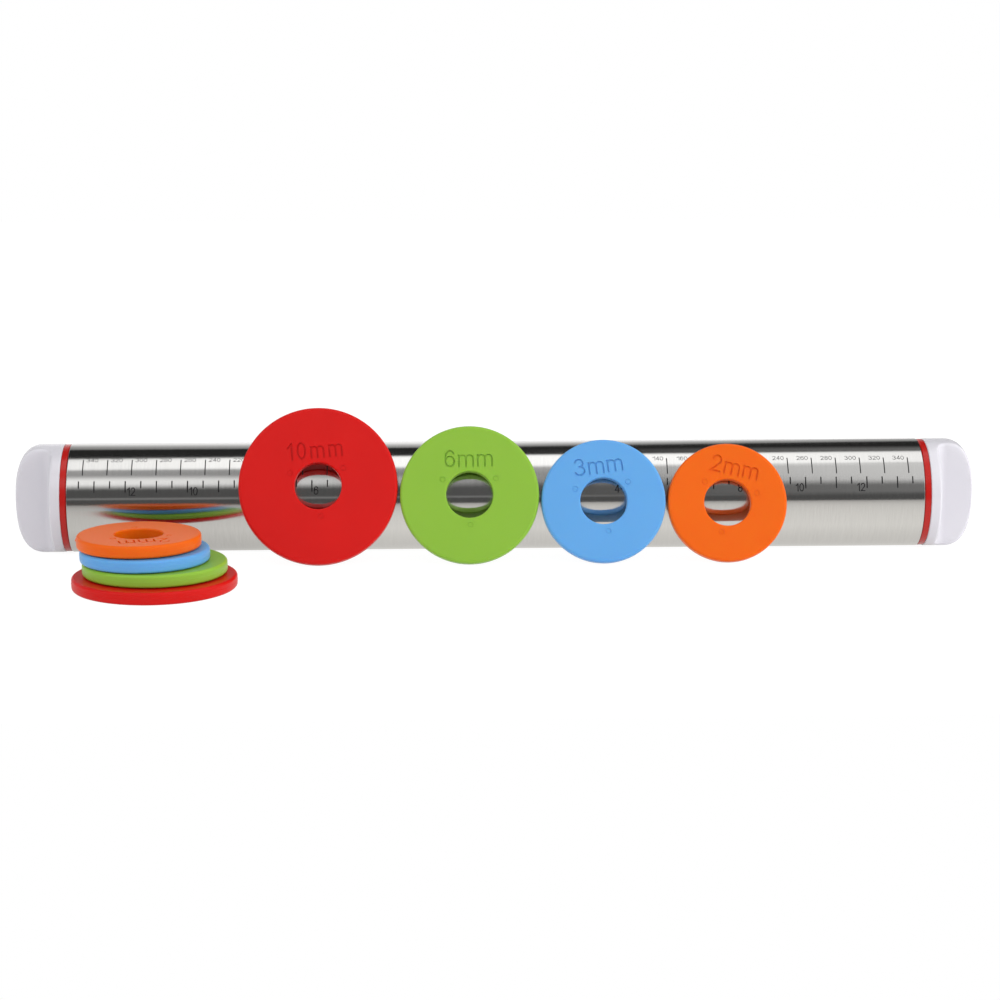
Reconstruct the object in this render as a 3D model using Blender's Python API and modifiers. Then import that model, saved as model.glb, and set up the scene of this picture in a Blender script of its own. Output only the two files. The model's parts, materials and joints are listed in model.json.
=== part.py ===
"""Adjustable rolling pin with thickness rings.

A steel barrel lies on the table. A screw-in knob with a threaded stem closes each end, over a thin red
collar. Four thickness rings lean on the barrel, and their four twins lie in a stack in front of it.
Metres, +Z up, +X along the barrel. The origin is on the table, under the middle of the whole set.
"""

import bmesh
import bpy
from math import ceil, cos, pi, radians, sin
from mathutils import Matrix, Vector

MM = 0.001

# Barrel
BARREL_DIAMETER = 45.0 * MM
BARREL_LENGTH = 353.0 * MM
BARREL_WALL = 1.0 * MM
BARREL_EDGE = 0.3 * MM

# Clearances between pieces
SEAT_GAP = 0.3 * MM
CUT_OVERRUN = 1.5 * MM

# Screw thread that holds a knob
THREAD_DIAMETER = 18.0 * MM
THREAD_DEPTH = 1.2 * MM
THREAD_PITCH = 3.0 * MM
THREAD_CREST_WIDTH = 0.7 * MM
THREAD_ROOT_WIDTH = 1.7 * MM
THREAD_CLEARANCE = 0.3 * MM
THREAD_LENGTH = 12.5 * MM
THREAD_STEPS_PER_TURN = 18
THREAD_ROOT_SINK = 0.4 * MM
THREAD_START_ANGLE = radians(4.0)

# End plug, pressed into the barrel
PLUG_DEPTH = 18.0 * MM
PLUG_FACE = 3.0 * MM
PLUG_WALL = 2.2 * MM
PLUG_BOSS_WALL = 3.0 * MM
PLUG_BOSS_DEPTH = 16.5 * MM

# Collar between barrel and knob
COLLAR_THICKNESS = 2.2 * MM
COLLAR_EDGE = 0.5 * MM

# Knob grip
KNOB_LENGTH = 20.4 * MM
KNOB_RIM = 4.4 * MM
KNOB_DOME = 12.2 * MM
DOME_EXPONENT = 2.6
DOME_STEPS = 9
PADDLE_THICKNESS = 13.0 * MM
PADDLE_FILLET = 4.5 * MM
PADDLE_FILLET_STEPS = 5
CORE_POCKET_WALL = 2.2 * MM
CORE_POCKET_HEIGHT = 17.0 * MM
CORE_POCKET_DEPTH = 11.5 * MM

# Base plate of the stem, let into the knob
PLATE_DIAMETER = 38.0 * MM
PLATE_THICKNESS = 3.2 * MM
STEM_TIP_CHAMFER = 1.2 * MM
STEM_TIP_LENGTH = 1.2 * MM
STEM_SOCKET_DIAMETER = 8.0 * MM
STEM_SOCKET_FLOOR = 1.6 * MM

# Two screws that hold the base plate in each knob
SCREW_SPACING = 27.0 * MM
SCREW_SHANK = 3.0 * MM
SCREW_LENGTH = 11.0 * MM
SCREW_POINT = 1.5 * MM
SCREW_HEAD = 5.8 * MM
SCREW_HEAD_HEIGHT = 1.5 * MM
SCREW_SLOT_WIDTH = 0.8 * MM
SCREW_SLOT_LENGTH = 3.4 * MM
SCREW_SLOT_DEPTH = 0.8 * MM

# Thickness rings: each stands proud of the barrel by the height in its name
RING_HEIGHTS = {"10mm": 10.0 * MM, "6mm": 6.0 * MM, "3mm": 3.0 * MM, "2mm": 2.0 * MM}
RING_THICKNESS = 5.0 * MM
RING_EDGE = 0.9 * MM
RING_EDGE_STEPS = 2
RING_BORE_CLEARANCE = 0.6 * MM

# Where the rings are
RING_LEAN = radians(20.0)
FRONT_RING_START = -106.0 * MM
FRONT_RING_SPACING = 0.8 * MM
STACK_ALONG = -136.4 * MM
STACK_FORWARD = 66.5 * MM
STACK_SHIFTS = {
    "10mm": (0.0 * MM, -1.0 * MM),
    "6mm": (0.0 * MM, 1.2 * MM),
    "3mm": (-3.7 * MM, 0.2 * MM),
    "2mm": (-6.0 * MM, 1.2 * MM),
}

# Facets around each kind of round piece
BARREL_FACETS = 56
PLUG_FACETS = 36
KNOB_FACETS = 40
RING_FACETS = 40
SCREW_FACETS = 14

# Sizes that follow from the ones above
BARREL_RADIUS = BARREL_DIAMETER / 2
BARREL_INSIDE = BARREL_RADIUS - BARREL_WALL
THREAD_CREST = THREAD_DIAMETER / 2
THREAD_ROOT = THREAD_CREST - THREAD_DEPTH
PLUG_BORE = THREAD_ROOT + THREAD_CLEARANCE
COLLAR_START = SEAT_GAP
KNOB_START = COLLAR_START + COLLAR_THICKNESS + SEAT_GAP
KNOB_END = KNOB_START + KNOB_LENGTH
PLATE_END = KNOB_START + PLATE_THICKNESS
RECESS_END = PLATE_END + SEAT_GAP
THREAD_TIP = -THREAD_LENGTH - STEM_TIP_LENGTH
SCREW_SEAT = KNOB_START + SEAT_GAP / 2 + SCREW_HEAD_HEIGHT + SEAT_GAP
RING_BORE = THREAD_CREST + RING_BORE_CLEARANCE
LARGEST_RING = BARREL_RADIUS + max(RING_HEIGHTS.values())
BARREL_Y = (STACK_FORWARD - STACK_SHIFTS["10mm"][1] + LARGEST_RING - BARREL_RADIUS) / 2

WHITE_PLASTIC = ("white_plastic", (0.66, 0.65, 0.69), 0.35, 0.0)
COLLAR_RED = ("collar_red", (0.58, 0.026, 0.021), 0.2, 0.0)
BRUSHED_STEEL = ("brushed_steel", (0.58, 0.57, 0.56), 0.3, 1.0)
SCREW_STEEL = ("screw_steel", (0.5, 0.5, 0.5), 0.35, 1.0)
GREY_PLASTIC = ("grey_plastic", (0.42, 0.42, 0.43), 0.5, 0.0)
RING_COLOURS = {
    "10mm": ("ring_red", (0.64, 0.019, 0.016), 0.35, 0.0),
    "6mm": ("ring_green", (0.27, 0.50, 0.056), 0.35, 0.0),
    "3mm": ("ring_blue", (0.136, 0.397, 0.82), 0.35, 0.0),
    "2mm": ("ring_orange", (0.89, 0.15, 0.016), 0.35, 0.0),
}


def clear_scene():
    """Remove every object, so that the model starts from nothing."""
    for item in list(bpy.data.objects):
        bpy.data.objects.remove(item, do_unlink=True)


def make_collection(name):
    """Return a new collection under the scene."""
    group = bpy.data.collections.new(name)
    bpy.context.scene.collection.children.link(group)
    return group


def make_material(look):
    """Return the material of a look (name, colour, roughness, metallic), made once."""
    name, colour, roughness, metallic = look
    if name in bpy.data.materials:
        return bpy.data.materials[name]
    material = bpy.data.materials.new(name)
    material.use_nodes = True
    shader = material.node_tree.nodes["Principled BSDF"]
    shader.inputs["Base Color"].default_value = (*colour, 1.0)
    shader.inputs["Roughness"].default_value = roughness
    shader.inputs["Metallic"].default_value = metallic
    return material


def add_object(name, mesh, look=None, parent=None, place=(0, 0, 0), turn=(0, 0, 0)):
    """Add a piece to the model, or a cutter when it has no look."""
    item = bpy.data.objects.new(name, mesh)
    if look is None:
        CUTTERS.objects.link(item)
        item.hide_render = True
        item.display_type = "WIRE"
    else:
        PARTS.objects.link(item)
        if not mesh.materials:
            mesh.materials.append(make_material(look))
    item.parent = parent
    item.location = place
    item.rotation_euler = turn
    return item


def add_axis(name, parent=None, place=(0, 0, 0), turn=(0, 0, 0)):
    """Add an empty that pieces are parented to."""
    axis = bpy.data.objects.new(name, None)
    axis.empty_display_size = BARREL_RADIUS
    PARTS.objects.link(axis)
    axis.parent = parent
    axis.location = place
    axis.rotation_euler = turn
    return axis


def profile_mesh(name, points, closed=True):
    """Return a mesh of edges through (radius, height) points, for a Screw modifier."""
    mesh = bpy.data.meshes.new(name)
    count = len(points)
    edges = [(i, (i + 1) % count) for i in range(count if closed else count - 1)]
    mesh.from_pydata([(r, 0.0, z) for r, z in points], edges, [])
    return mesh


def turn_profile(item, facets):
    """Spin the object's profile once about its own Z axis."""
    screw = item.modifiers.new("turned", "SCREW")
    screw.axis = "Z"
    screw.angle = 2 * pi
    screw.steps = facets
    screw.render_steps = facets
    screw.use_merge_vertices = True
    screw.merge_threshold = 0.01 * MM
    screw.use_smooth_shade = True


def cut(item, cutter):
    """Subtract the cutter from the piece."""
    boolean = item.modifiers.new("cut_" + cutter.name, "BOOLEAN")
    boolean.operation = "DIFFERENCE"
    boolean.object = cutter


def join(item, other):
    """Add the other solid to the piece."""
    boolean = item.modifiers.new("join_" + other.name, "BOOLEAN")
    boolean.operation = "UNION"
    boolean.object = other


def arc(centre_r, centre_z, radius, start, end, steps):
    """Return points on an arc of a profile, with angles in degrees from +radius towards +Z."""
    angles = [radians(start + (end - start) * i / steps) for i in range(steps + 1)]
    return [(centre_r + radius * cos(a), centre_z + radius * sin(a)) for a in angles]


def washer_profile(inner, outer, low, high, edge, steps):
    """Return a closed profile of a flat ring whose outer edges are rounded."""
    points = [(inner, high)]
    points += arc(outer - edge, high - edge, edge, 90, 0, steps)
    points += arc(outer - edge, low + edge, edge, 0, -90, steps)
    points.append((inner, low))
    return points


def box_mesh(name, low, high):
    """Return a box mesh between two corners."""
    mesh = bpy.data.meshes.new(name)
    shape = bmesh.new()
    bmesh.ops.create_cube(shape, size=1.0)
    size = Vector(high) - Vector(low)
    middle = (Vector(high) + Vector(low)) / 2
    bmesh.ops.transform(shape, verts=shape.verts, matrix=Matrix.Translation(middle) @ Matrix.Diagonal((*size, 1.0)))
    shape.to_mesh(mesh)
    shape.free()
    return mesh


def cylinder_mesh(name, radius, low, high, facets):
    """Return a capped cylinder mesh on the Z axis."""
    mesh = bpy.data.meshes.new(name)
    shape = bmesh.new()
    centre = Matrix.Translation((0, 0, (low + high) / 2))
    bmesh.ops.create_cone(
        shape, cap_ends=True, segments=facets, radius1=radius, radius2=radius, depth=high - low, matrix=centre
    )
    shape.to_mesh(mesh)
    shape.free()
    return mesh


def thread_mesh(name, first_turn, last_turn, clearance):
    """Return a helical ridge about Z; turn 0 is where the stem's thread starts, at its tip.

    The ridge starts a little round from +X, so that its steps don't line up with the facets it joins.
    """
    mesh = bpy.data.meshes.new(name)
    shape = bmesh.new()
    slope = (THREAD_ROOT_WIDTH - THREAD_CREST_WIDTH) / (2 * THREAD_DEPTH)
    top = THREAD_CREST + clearance
    bottom = THREAD_ROOT - THREAD_ROOT_SINK
    top_half = THREAD_CREST_WIDTH / 2 + clearance * (1 - slope)
    bottom_half = THREAD_ROOT_WIDTH / 2 + THREAD_ROOT_SINK * slope + clearance
    start = first_turn * THREAD_PITCH - THREAD_LENGTH + THREAD_ROOT_WIDTH / 2
    corners = [(bottom, -bottom_half), (top, -top_half), (top, top_half), (bottom, bottom_half)]
    across = Vector((cos(THREAD_START_ANGLE), sin(THREAD_START_ANGLE), 0.0))
    verts = [shape.verts.new(r * across + Vector((0.0, 0.0, start + z))) for r, z in corners]
    edges = [shape.edges.new((verts[i], verts[i - 1])) for i in range(len(verts))]
    turns = last_turn - first_turn
    steps = ceil(turns * THREAD_STEPS_PER_TURN)
    bmesh.ops.spin(
        shape,
        geom=verts + edges,
        cent=(0, 0, 0),
        axis=(0, 0, 1),
        dvec=(0, 0, turns * THREAD_PITCH / steps),
        angle=2 * pi * turns,
        steps=steps,
    )
    ends = [edge for edge in shape.edges if edge.is_boundary]
    bmesh.ops.holes_fill(shape, edges=ends, sides=len(corners))
    bmesh.ops.recalc_face_normals(shape, faces=shape.faces)
    shape.to_mesh(mesh)
    shape.free()
    return mesh


def build_barrel(axis):
    """The steel tube."""
    half = BARREL_LENGTH / 2
    profile = washer_profile(BARREL_INSIDE, BARREL_RADIUS, -half, half, BARREL_EDGE, 1)
    tube = add_object("barrel_tube", profile_mesh("barrel_tube", profile), BRUSHED_STEEL, axis)
    turn_profile(tube, BARREL_FACETS)


def plug_mesh_profile():
    """Profile of the end plug: an outer wall and a threaded boss, joined by the outer face."""
    outer = BARREL_INSIDE - SEAT_GAP
    face = -SEAT_GAP
    boss = THREAD_CREST + THREAD_CLEARANCE + PLUG_BOSS_WALL
    floor = face - PLUG_FACE
    return [
        (PLUG_BORE, face),
        (outer, face),
        (outer, face - PLUG_DEPTH),
        (outer - PLUG_WALL, face - PLUG_DEPTH),
        (outer - PLUG_WALL, floor),
        (boss, floor),
        (boss, face - PLUG_BOSS_DEPTH),
        (PLUG_BORE, face - PLUG_BOSS_DEPTH),
    ]


def build_plug(side, axis):
    """The plug in one end of the barrel, with a female thread."""
    name = "end_plug_" + side
    plug = add_object(name, profile_mesh(name, plug_mesh_profile()), GREY_PLASTIC, axis)
    turn_profile(plug, PLUG_FACETS)
    turns_below = ceil((PLUG_BOSS_DEPTH - THREAD_LENGTH + CUT_OVERRUN) / THREAD_PITCH)
    turns_above = ceil((THREAD_LENGTH + CUT_OVERRUN) / THREAD_PITCH)
    mesh = thread_mesh("thread_cutter_" + side, -turns_below, turns_above, THREAD_CLEARANCE)
    cut(plug, add_object("thread_cutter_" + side, mesh, parent=axis))


def build_collar(side, axis):
    """The thin red collar, trapped between barrel and knob."""
    name = "end_collar_" + side
    bore = THREAD_CREST + SEAT_GAP
    profile = washer_profile(bore, BARREL_RADIUS, COLLAR_START, COLLAR_START + COLLAR_THICKNESS, COLLAR_EDGE, 2)
    collar = add_object(name, profile_mesh(name, profile), COLLAR_RED, axis)
    turn_profile(collar, KNOB_FACETS)


def dome_profile():
    """Profile of the uncut grip: a superellipse dome on a short cylinder."""
    points = []
    power = 2 / DOME_EXPONENT
    for i in range(DOME_STEPS + 1):
        angle = pi / 2 * i / DOME_STEPS
        radius = BARREL_RADIUS * sin(angle) ** power
        height = KNOB_END - KNOB_DOME + KNOB_DOME * max(cos(angle), 0.0) ** power
        points.append((radius, height))
    points[0] = (0.0, KNOB_END)
    points[-1] = (BARREL_RADIUS, KNOB_END - KNOB_DOME)
    points.append((BARREL_RADIUS, KNOB_START + BARREL_EDGE))
    points.append((BARREL_RADIUS - BARREL_EDGE, KNOB_START))
    points.append((0.0, KNOB_START))
    return points


def paddle_cutter(name, side_sign):
    """Block that flattens one side of the grip; its lower inner edge is rounded for the fillet."""
    reach = BARREL_RADIUS + CUT_OVERRUN
    inner = PADDLE_THICKNESS / 2
    low = (-reach, min(side_sign * inner, side_sign * reach), KNOB_START + KNOB_RIM)
    high = (reach, max(side_sign * inner, side_sign * reach), KNOB_END + CUT_OVERRUN)
    mesh = box_mesh(name, low, high)
    shape = bmesh.new()
    shape.from_mesh(mesh)
    tolerance = MM / 100
    corner = [
        edge
        for edge in shape.edges
        if all(abs(v.co.y - side_sign * inner) < tolerance and abs(v.co.z - low[2]) < tolerance for v in edge.verts)
    ]
    bmesh.ops.bevel(shape, geom=corner, offset=PADDLE_FILLET, segments=PADDLE_FILLET_STEPS, profile=0.5, affect="EDGES")
    shape.to_mesh(mesh)
    shape.free()
    return mesh


def build_grip(side, axis):
    """The white knob grip: a round rim with a flat paddle, cored out from below."""
    name = "knob_grip_" + side
    grip = add_object(name, profile_mesh(name, dome_profile(), closed=False), WHITE_PLASTIC, axis)
    turn_profile(grip, KNOB_FACETS)
    for label, side_sign in (("front", -1), ("back", 1)):
        cutter = "paddle_cutter_" + side + "_" + label
        cut(grip, add_object(cutter, paddle_cutter(cutter, side_sign), parent=axis))
    recess = PLATE_DIAMETER / 2 + SEAT_GAP
    mesh = cylinder_mesh("recess_cutter_" + side, recess, KNOB_START - CUT_OVERRUN, RECESS_END, PLUG_FACETS)
    cut(grip, add_object("recess_cutter_" + side, mesh, parent=axis))
    half_width = PADDLE_THICKNESS / 2 - CORE_POCKET_WALL
    half_height = CORE_POCKET_HEIGHT / 2
    mesh = box_mesh(
        "pocket_cutter_" + side,
        (-half_height, -half_width, RECESS_END - CUT_OVERRUN),
        (half_height, half_width, RECESS_END + CORE_POCKET_DEPTH),
    )
    cut(grip, add_object("pocket_cutter_" + side, mesh, parent=axis))
    pilot = SCREW_SHANK / 2 + SEAT_GAP
    deep = SCREW_SEAT + SCREW_LENGTH + SEAT_GAP
    for label, place in screw_places():
        cutter = "pilot_cutter_" + side + "_" + label
        mesh = cylinder_mesh(cutter, pilot, RECESS_END - CUT_OVERRUN, deep, SCREW_FACETS)
        cut(grip, add_object(cutter, mesh, parent=axis, place=place))


def screw_places():
    """The two screws of a knob stand one above the other, in line with the paddle."""
    return (("upper", (SCREW_SPACING / 2, 0.0, 0.0)), ("lower", (-SCREW_SPACING / 2, 0.0, 0.0)))


def build_stem(side, axis):
    """The base plate and threaded stem of a knob, in one moulding."""
    name = "knob_stem_" + side
    profile = [
        (0.0, PLATE_END),
        (PLATE_DIAMETER / 2, PLATE_END),
        (PLATE_DIAMETER / 2, KNOB_START),
        (THREAD_CREST, KNOB_START),
        (THREAD_CREST, THREAD_DEPTH),
        (THREAD_ROOT, 0.0),
        (THREAD_ROOT, -THREAD_LENGTH),
        (THREAD_ROOT - STEM_TIP_CHAMFER, THREAD_TIP),
        (0.0, THREAD_TIP),
    ]
    stem = add_object(name, profile_mesh(name, profile, closed=False), WHITE_PLASTIC, axis)
    turn_profile(stem, PLUG_FACETS)
    last_turn = (THREAD_LENGTH - THREAD_ROOT_WIDTH - THREAD_DEPTH) / THREAD_PITCH
    mesh = thread_mesh("thread_ridge_" + side, 0.0, last_turn, 0.0)
    join(stem, add_object("thread_ridge_" + side, mesh, parent=axis))
    socket = "stem_socket_cutter_" + side
    mesh = cylinder_mesh(
        socket, STEM_SOCKET_DIAMETER / 2, THREAD_TIP - CUT_OVERRUN, PLATE_END - STEM_SOCKET_FLOOR, SCREW_FACETS
    )
    cut(stem, add_object(socket, mesh, parent=axis))
    for label, place in screw_places():
        hole = "plate_hole_cutter_" + side + "_" + label
        mesh = cylinder_mesh(
            hole, SCREW_SHANK / 2 + SEAT_GAP, KNOB_START - CUT_OVERRUN, PLATE_END + CUT_OVERRUN, SCREW_FACETS
        )
        cut(stem, add_object(hole, mesh, parent=axis, place=place))
        sink = "plate_sink_cutter_" + side + "_" + label
        mesh = cylinder_mesh(sink, SCREW_HEAD / 2 + SEAT_GAP, KNOB_START - CUT_OVERRUN, SCREW_SEAT, SCREW_FACETS)
        cut(stem, add_object(sink, mesh, parent=axis, place=place))


def build_screws(side, axis):
    """Two cross-head screws, sunk into the base plate from the barrel's side."""
    head_low = KNOB_START + SEAT_GAP / 2
    head_high = head_low + SCREW_HEAD_HEIGHT
    point = SCREW_SEAT + SCREW_LENGTH - SEAT_GAP
    profile = [
        (0.0, point),
        (SCREW_SHANK / 2, point - SCREW_POINT),
        (SCREW_SHANK / 2, head_high),
        (SCREW_HEAD / 2, head_high),
        (SCREW_HEAD / 2, head_low),
        (0.0, head_low),
    ]
    slot_high = head_low + SCREW_SLOT_DEPTH
    half_length = SCREW_SLOT_LENGTH / 2
    half_width = SCREW_SLOT_WIDTH / 2
    for label, place in screw_places():
        name = "knob_screw_" + side + "_" + label
        screw = add_object(name, profile_mesh(name, profile, closed=False), SCREW_STEEL, axis, place)
        turn_profile(screw, SCREW_FACETS)
        for arm, reach in (("a", (half_length, half_width)), ("b", (half_width, half_length))):
            cutter = "cross_cutter_" + side + "_" + label + "_" + arm
            low = (-reach[0], -reach[1], head_low - CUT_OVERRUN)
            high = (reach[0], reach[1], slot_high)
            cut(screw, add_object(cutter, box_mesh(cutter, low, high), parent=axis, place=place))


def ring_mesh(label):
    """Profile of a thickness ring, lying with its lower face at height zero."""
    outer = BARREL_RADIUS + RING_HEIGHTS[label]
    profile = washer_profile(RING_BORE, outer, 0.0, RING_THICKNESS, RING_EDGE, RING_EDGE_STEPS)
    return profile_mesh("ring_" + label, profile)


def build_rings(axis):
    """The leaning rings and their twins in the stack, smallest on top."""
    lean_foot = (BARREL_RADIUS + SEAT_GAP) * (1 + sin(RING_LEAN)) / cos(RING_LEAN)
    # A leaning ring stands on its rounded edge, so it settles a little down the leaning plane.
    settle = RING_EDGE * (cos(RING_LEAN) + sin(RING_LEAN) - 1) / cos(RING_LEAN)
    along = FRONT_RING_START
    stack_height = 0.0
    for label, height in RING_HEIGHTS.items():
        radius = BARREL_RADIUS + height
        look = RING_COLOURS[label]
        mesh = ring_mesh(label)
        # The centre of the ring's back face lies one radius up the leaning plane from the foot.
        rise = radius - settle
        centre = (along + radius, BARREL_Y - lean_foot + rise * sin(RING_LEAN), rise * cos(RING_LEAN))
        leaning = add_object(
            "ring_" + label + "_leaning", mesh, look, axis, centre, (pi / 2 - RING_LEAN, 0.0, 0.0)
        )
        turn_profile(leaning, RING_FACETS)
        along += 2 * radius + FRONT_RING_SPACING
        shift = STACK_SHIFTS[label]
        place = (STACK_ALONG + shift[0], BARREL_Y - STACK_FORWARD + shift[1], stack_height)
        stacked = add_object("ring_" + label + "_stacked", mesh, look, axis, place)
        turn_profile(stacked, RING_FACETS)
        stack_height += RING_THICKNESS + SEAT_GAP


clear_scene()
PARTS = make_collection("adjustable_rolling_pin")
CUTTERS = make_collection("cutters")

barrel_axis = add_axis("barrel_axis", place=(0, BARREL_Y, BARREL_RADIUS), turn=(0, pi / 2, 0))
build_barrel(barrel_axis)
for side_name, direction in (("right", 1), ("left", -1)):
    end_axis = add_axis(
        "end_axis_" + side_name,
        place=(direction * BARREL_LENGTH / 2, BARREL_Y, BARREL_RADIUS),
        turn=(0, direction * pi / 2, 0),
    )
    build_plug(side_name, end_axis)
    build_collar(side_name, end_axis)
    knob_axis = add_axis("knob_axis_" + side_name, parent=end_axis)
    build_grip(side_name, knob_axis)
    build_stem(side_name, knob_axis)
    build_screws(side_name, knob_axis)
ring_set = add_axis("ring_set")
build_rings(ring_set)
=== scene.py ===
"""Looks of the adjustable rolling pin: a brushed steel barrel, white knobs and two sets of coloured rings.

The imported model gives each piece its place, and this script dresses it: round pieces are turned again with
fine facets and soft edges, the threads are cut, the scales are etched into the barrel and the heights are
pressed into the rings. Metres, +Z up, +X along the barrel, the table at zero.
"""

from __future__ import annotations

import json
import logging
import math
from dataclasses import dataclass
from enum import Enum
from functools import cache

import bmesh
import bpy
import numpy as np
from mathutils import Matrix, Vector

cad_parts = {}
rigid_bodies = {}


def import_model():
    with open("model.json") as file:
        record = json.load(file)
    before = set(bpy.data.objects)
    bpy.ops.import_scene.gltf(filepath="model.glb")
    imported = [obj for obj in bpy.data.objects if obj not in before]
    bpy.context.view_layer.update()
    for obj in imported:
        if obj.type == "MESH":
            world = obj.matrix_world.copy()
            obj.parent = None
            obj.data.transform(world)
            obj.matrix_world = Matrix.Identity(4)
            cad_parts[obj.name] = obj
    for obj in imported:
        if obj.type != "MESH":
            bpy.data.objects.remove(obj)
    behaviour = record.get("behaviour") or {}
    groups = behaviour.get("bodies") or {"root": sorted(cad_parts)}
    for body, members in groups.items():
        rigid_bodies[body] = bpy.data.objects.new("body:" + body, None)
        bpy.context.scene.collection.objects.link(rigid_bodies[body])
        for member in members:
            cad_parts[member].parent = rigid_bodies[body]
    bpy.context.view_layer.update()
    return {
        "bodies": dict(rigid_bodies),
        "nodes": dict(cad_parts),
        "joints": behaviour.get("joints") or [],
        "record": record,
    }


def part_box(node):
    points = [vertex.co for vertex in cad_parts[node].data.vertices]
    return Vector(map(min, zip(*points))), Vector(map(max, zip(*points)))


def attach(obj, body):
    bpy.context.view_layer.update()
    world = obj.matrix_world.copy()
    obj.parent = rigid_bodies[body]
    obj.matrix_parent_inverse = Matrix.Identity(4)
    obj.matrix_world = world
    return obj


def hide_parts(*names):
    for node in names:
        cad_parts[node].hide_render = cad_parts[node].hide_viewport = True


LOG = logging.getLogger("rolling_pin")
MM = 0.001
WHITE = (1.0, 1.0, 1.0, 1.0)

# Points closer than the first are one point, and a cut this close to a point goes through it.
MERGE_DISTANCE = 0.0008 * MM
SPLIT_DISTANCE = 0.0001 * MM
# A cutter runs past the surface that it cuts by this much.
OVERCUT = 1.0 * MM
# Edges that bend by more than this many degrees stay sharp.
SHARP_ANGLE = 35.0


# Colours and nodes


def linear(colour: str, level: float = 1.0) -> tuple[float, float, float, float]:
    """Turn an sRGB hex colour into linear light.

    A channel c from 0 to 1 becomes c / 12.92 up to 0.04045, and ((c + 0.055) / 1.055) ^ 2.4 above it.

    Args:
        colour: the colour as "#rrggbb".
        level: the linear light is multiplied by this.

    Returns:
        Red, green, blue and an alpha of 1.
    """
    channels = np.array([int(colour[i : i + 2], 16) for i in (1, 3, 5)]) / 255
    light = np.where(channels <= 0.04045, channels / 12.92, ((channels + 0.055) / 1.055) ** 2.4)
    return (*(light * level).tolist(), 1.0)


def fill(tree: bpy.types.NodeTree, node: bpy.types.Node, inputs: dict) -> None:
    """Set a node's inputs, or link them to what feeds them.

    Args:
        tree: the node tree.
        node: the node.
        inputs: for each socket, by name or number, a value or the output socket that feeds it.
    """
    for key, value in inputs.items():
        if isinstance(value, bpy.types.NodeSocket):
            tree.links.new(value, node.inputs[key])
        else:
            node.inputs[key].default_value = value


def add_node(
    tree: bpy.types.NodeTree, kind: str, inputs: dict | None = None, **settings: object
) -> bpy.types.Node:
    """Add a node with its settings, and fill or link its inputs.

    Args:
        tree: the node tree.
        kind: the node's type name.
        inputs: what goes into its sockets, as in fill.
        settings: the node's own properties.

    Returns:
        The new node.
    """
    node = tree.nodes.new(kind)
    for name, value in settings.items():
        setattr(node, name, value)
    fill(tree, node, inputs or {})
    return node


# Surfaces


@dataclass
class Shell:
    """A closed surface: its points, its faces as lists of point numbers, and a UV for each face corner."""

    points: np.ndarray
    faces: list[list[int]]
    uv: np.ndarray | None = None

    def placed(self, place: Matrix) -> Shell:
        """Return the shell moved by a 4 x 4 matrix: p becomes R p + t."""
        turn = np.array(place)[:3, :3]
        return Shell(self.points @ turn.T + np.array(place)[:3, 3], self.faces, self.uv)


def joined(shells: list[Shell]) -> Shell:
    """Put several shells into one; the faces of each count on from the points before it.

    Args:
        shells: the shells, whose UVs are left out.

    Returns:
        One shell that holds them all.
    """
    starts = np.cumsum([0] + [len(shell.points) for shell in shells[:-1]])
    faces = [[int(start) + i for i in face] for start, shell in zip(starts, shells) for face in shell.faces]
    return Shell(np.concatenate([shell.points for shell in shells]), faces)


def grid_shell(grid: np.ndarray, closed_rows: bool) -> Shell:
    """Make quads over a grid of points whose columns run round and close.

    Quad (r, c) has the corners (r, c), (r, c + 1), (r + 1, c + 1) and (r + 1, c), counted round the end.
    The UV is in metres: u is the mean length run along the rows' profile, v is the share of a turn.

    Args:
        grid: points, as rows x columns x 3.
        closed_rows: True if the last row joins the first.

    Returns:
        The shell.
    """
    rows, columns = grid.shape[:2]
    count = rows if closed_rows else rows - 1
    row, column = np.meshgrid(np.arange(count), np.arange(columns), indexing="ij")
    next_row, next_column = (row + 1) % rows, (column + 1) % columns
    corners = [(row, column), (row, next_column), (next_row, next_column), (next_row, column)]
    faces = np.stack([r * columns + c for r, c in corners], axis=-1).reshape(-1, 4)
    steps = np.linalg.norm(np.roll(grid, -1, axis=0) - grid, axis=-1).mean(axis=1)
    run = np.concatenate([[0.0], np.cumsum(steps)])
    u = np.stack([run[row], run[row], run[row + 1], run[row + 1]], axis=-1)
    v = np.stack([column, column + 1, column + 1, column], axis=-1) / columns
    return Shell(grid.reshape(-1, 3), faces.tolist(), np.stack([u, v], axis=-1).reshape(-1, 2))


def angles(segments: int) -> np.ndarray:
    """Return the angles of evenly spaced segments round a circle: 2 pi k / segments."""
    return 2 * np.pi * np.arange(segments) / segments


def swept(radius: np.ndarray, height: np.ndarray, segments: int) -> np.ndarray:
    """Return the points (r cos a, r sin a, h) for evenly spaced angles a, as rows x segments x 3."""
    angle = angles(segments)
    return np.stack([radius * np.cos(angle), radius * np.sin(angle), height + 0 * angle], axis=-1)


def turned(
    profile: np.ndarray, segments: int, closed: bool = True, ridge: np.ndarray | float = 0.0
) -> Shell:
    """Turn a profile about Z.

    Args:
        profile: rows of (radius, height).
        segments: the number of angles that it is turned to.
        closed: True if the profile is a loop, False if it runs from pole to pole.
        ridge: what a thread adds to the radius, as rows x segments.

    Returns:
        The turned shell.
    """
    return grid_shell(swept(profile[:, :1] + ridge, profile[:, 1:], segments), closed)


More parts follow.
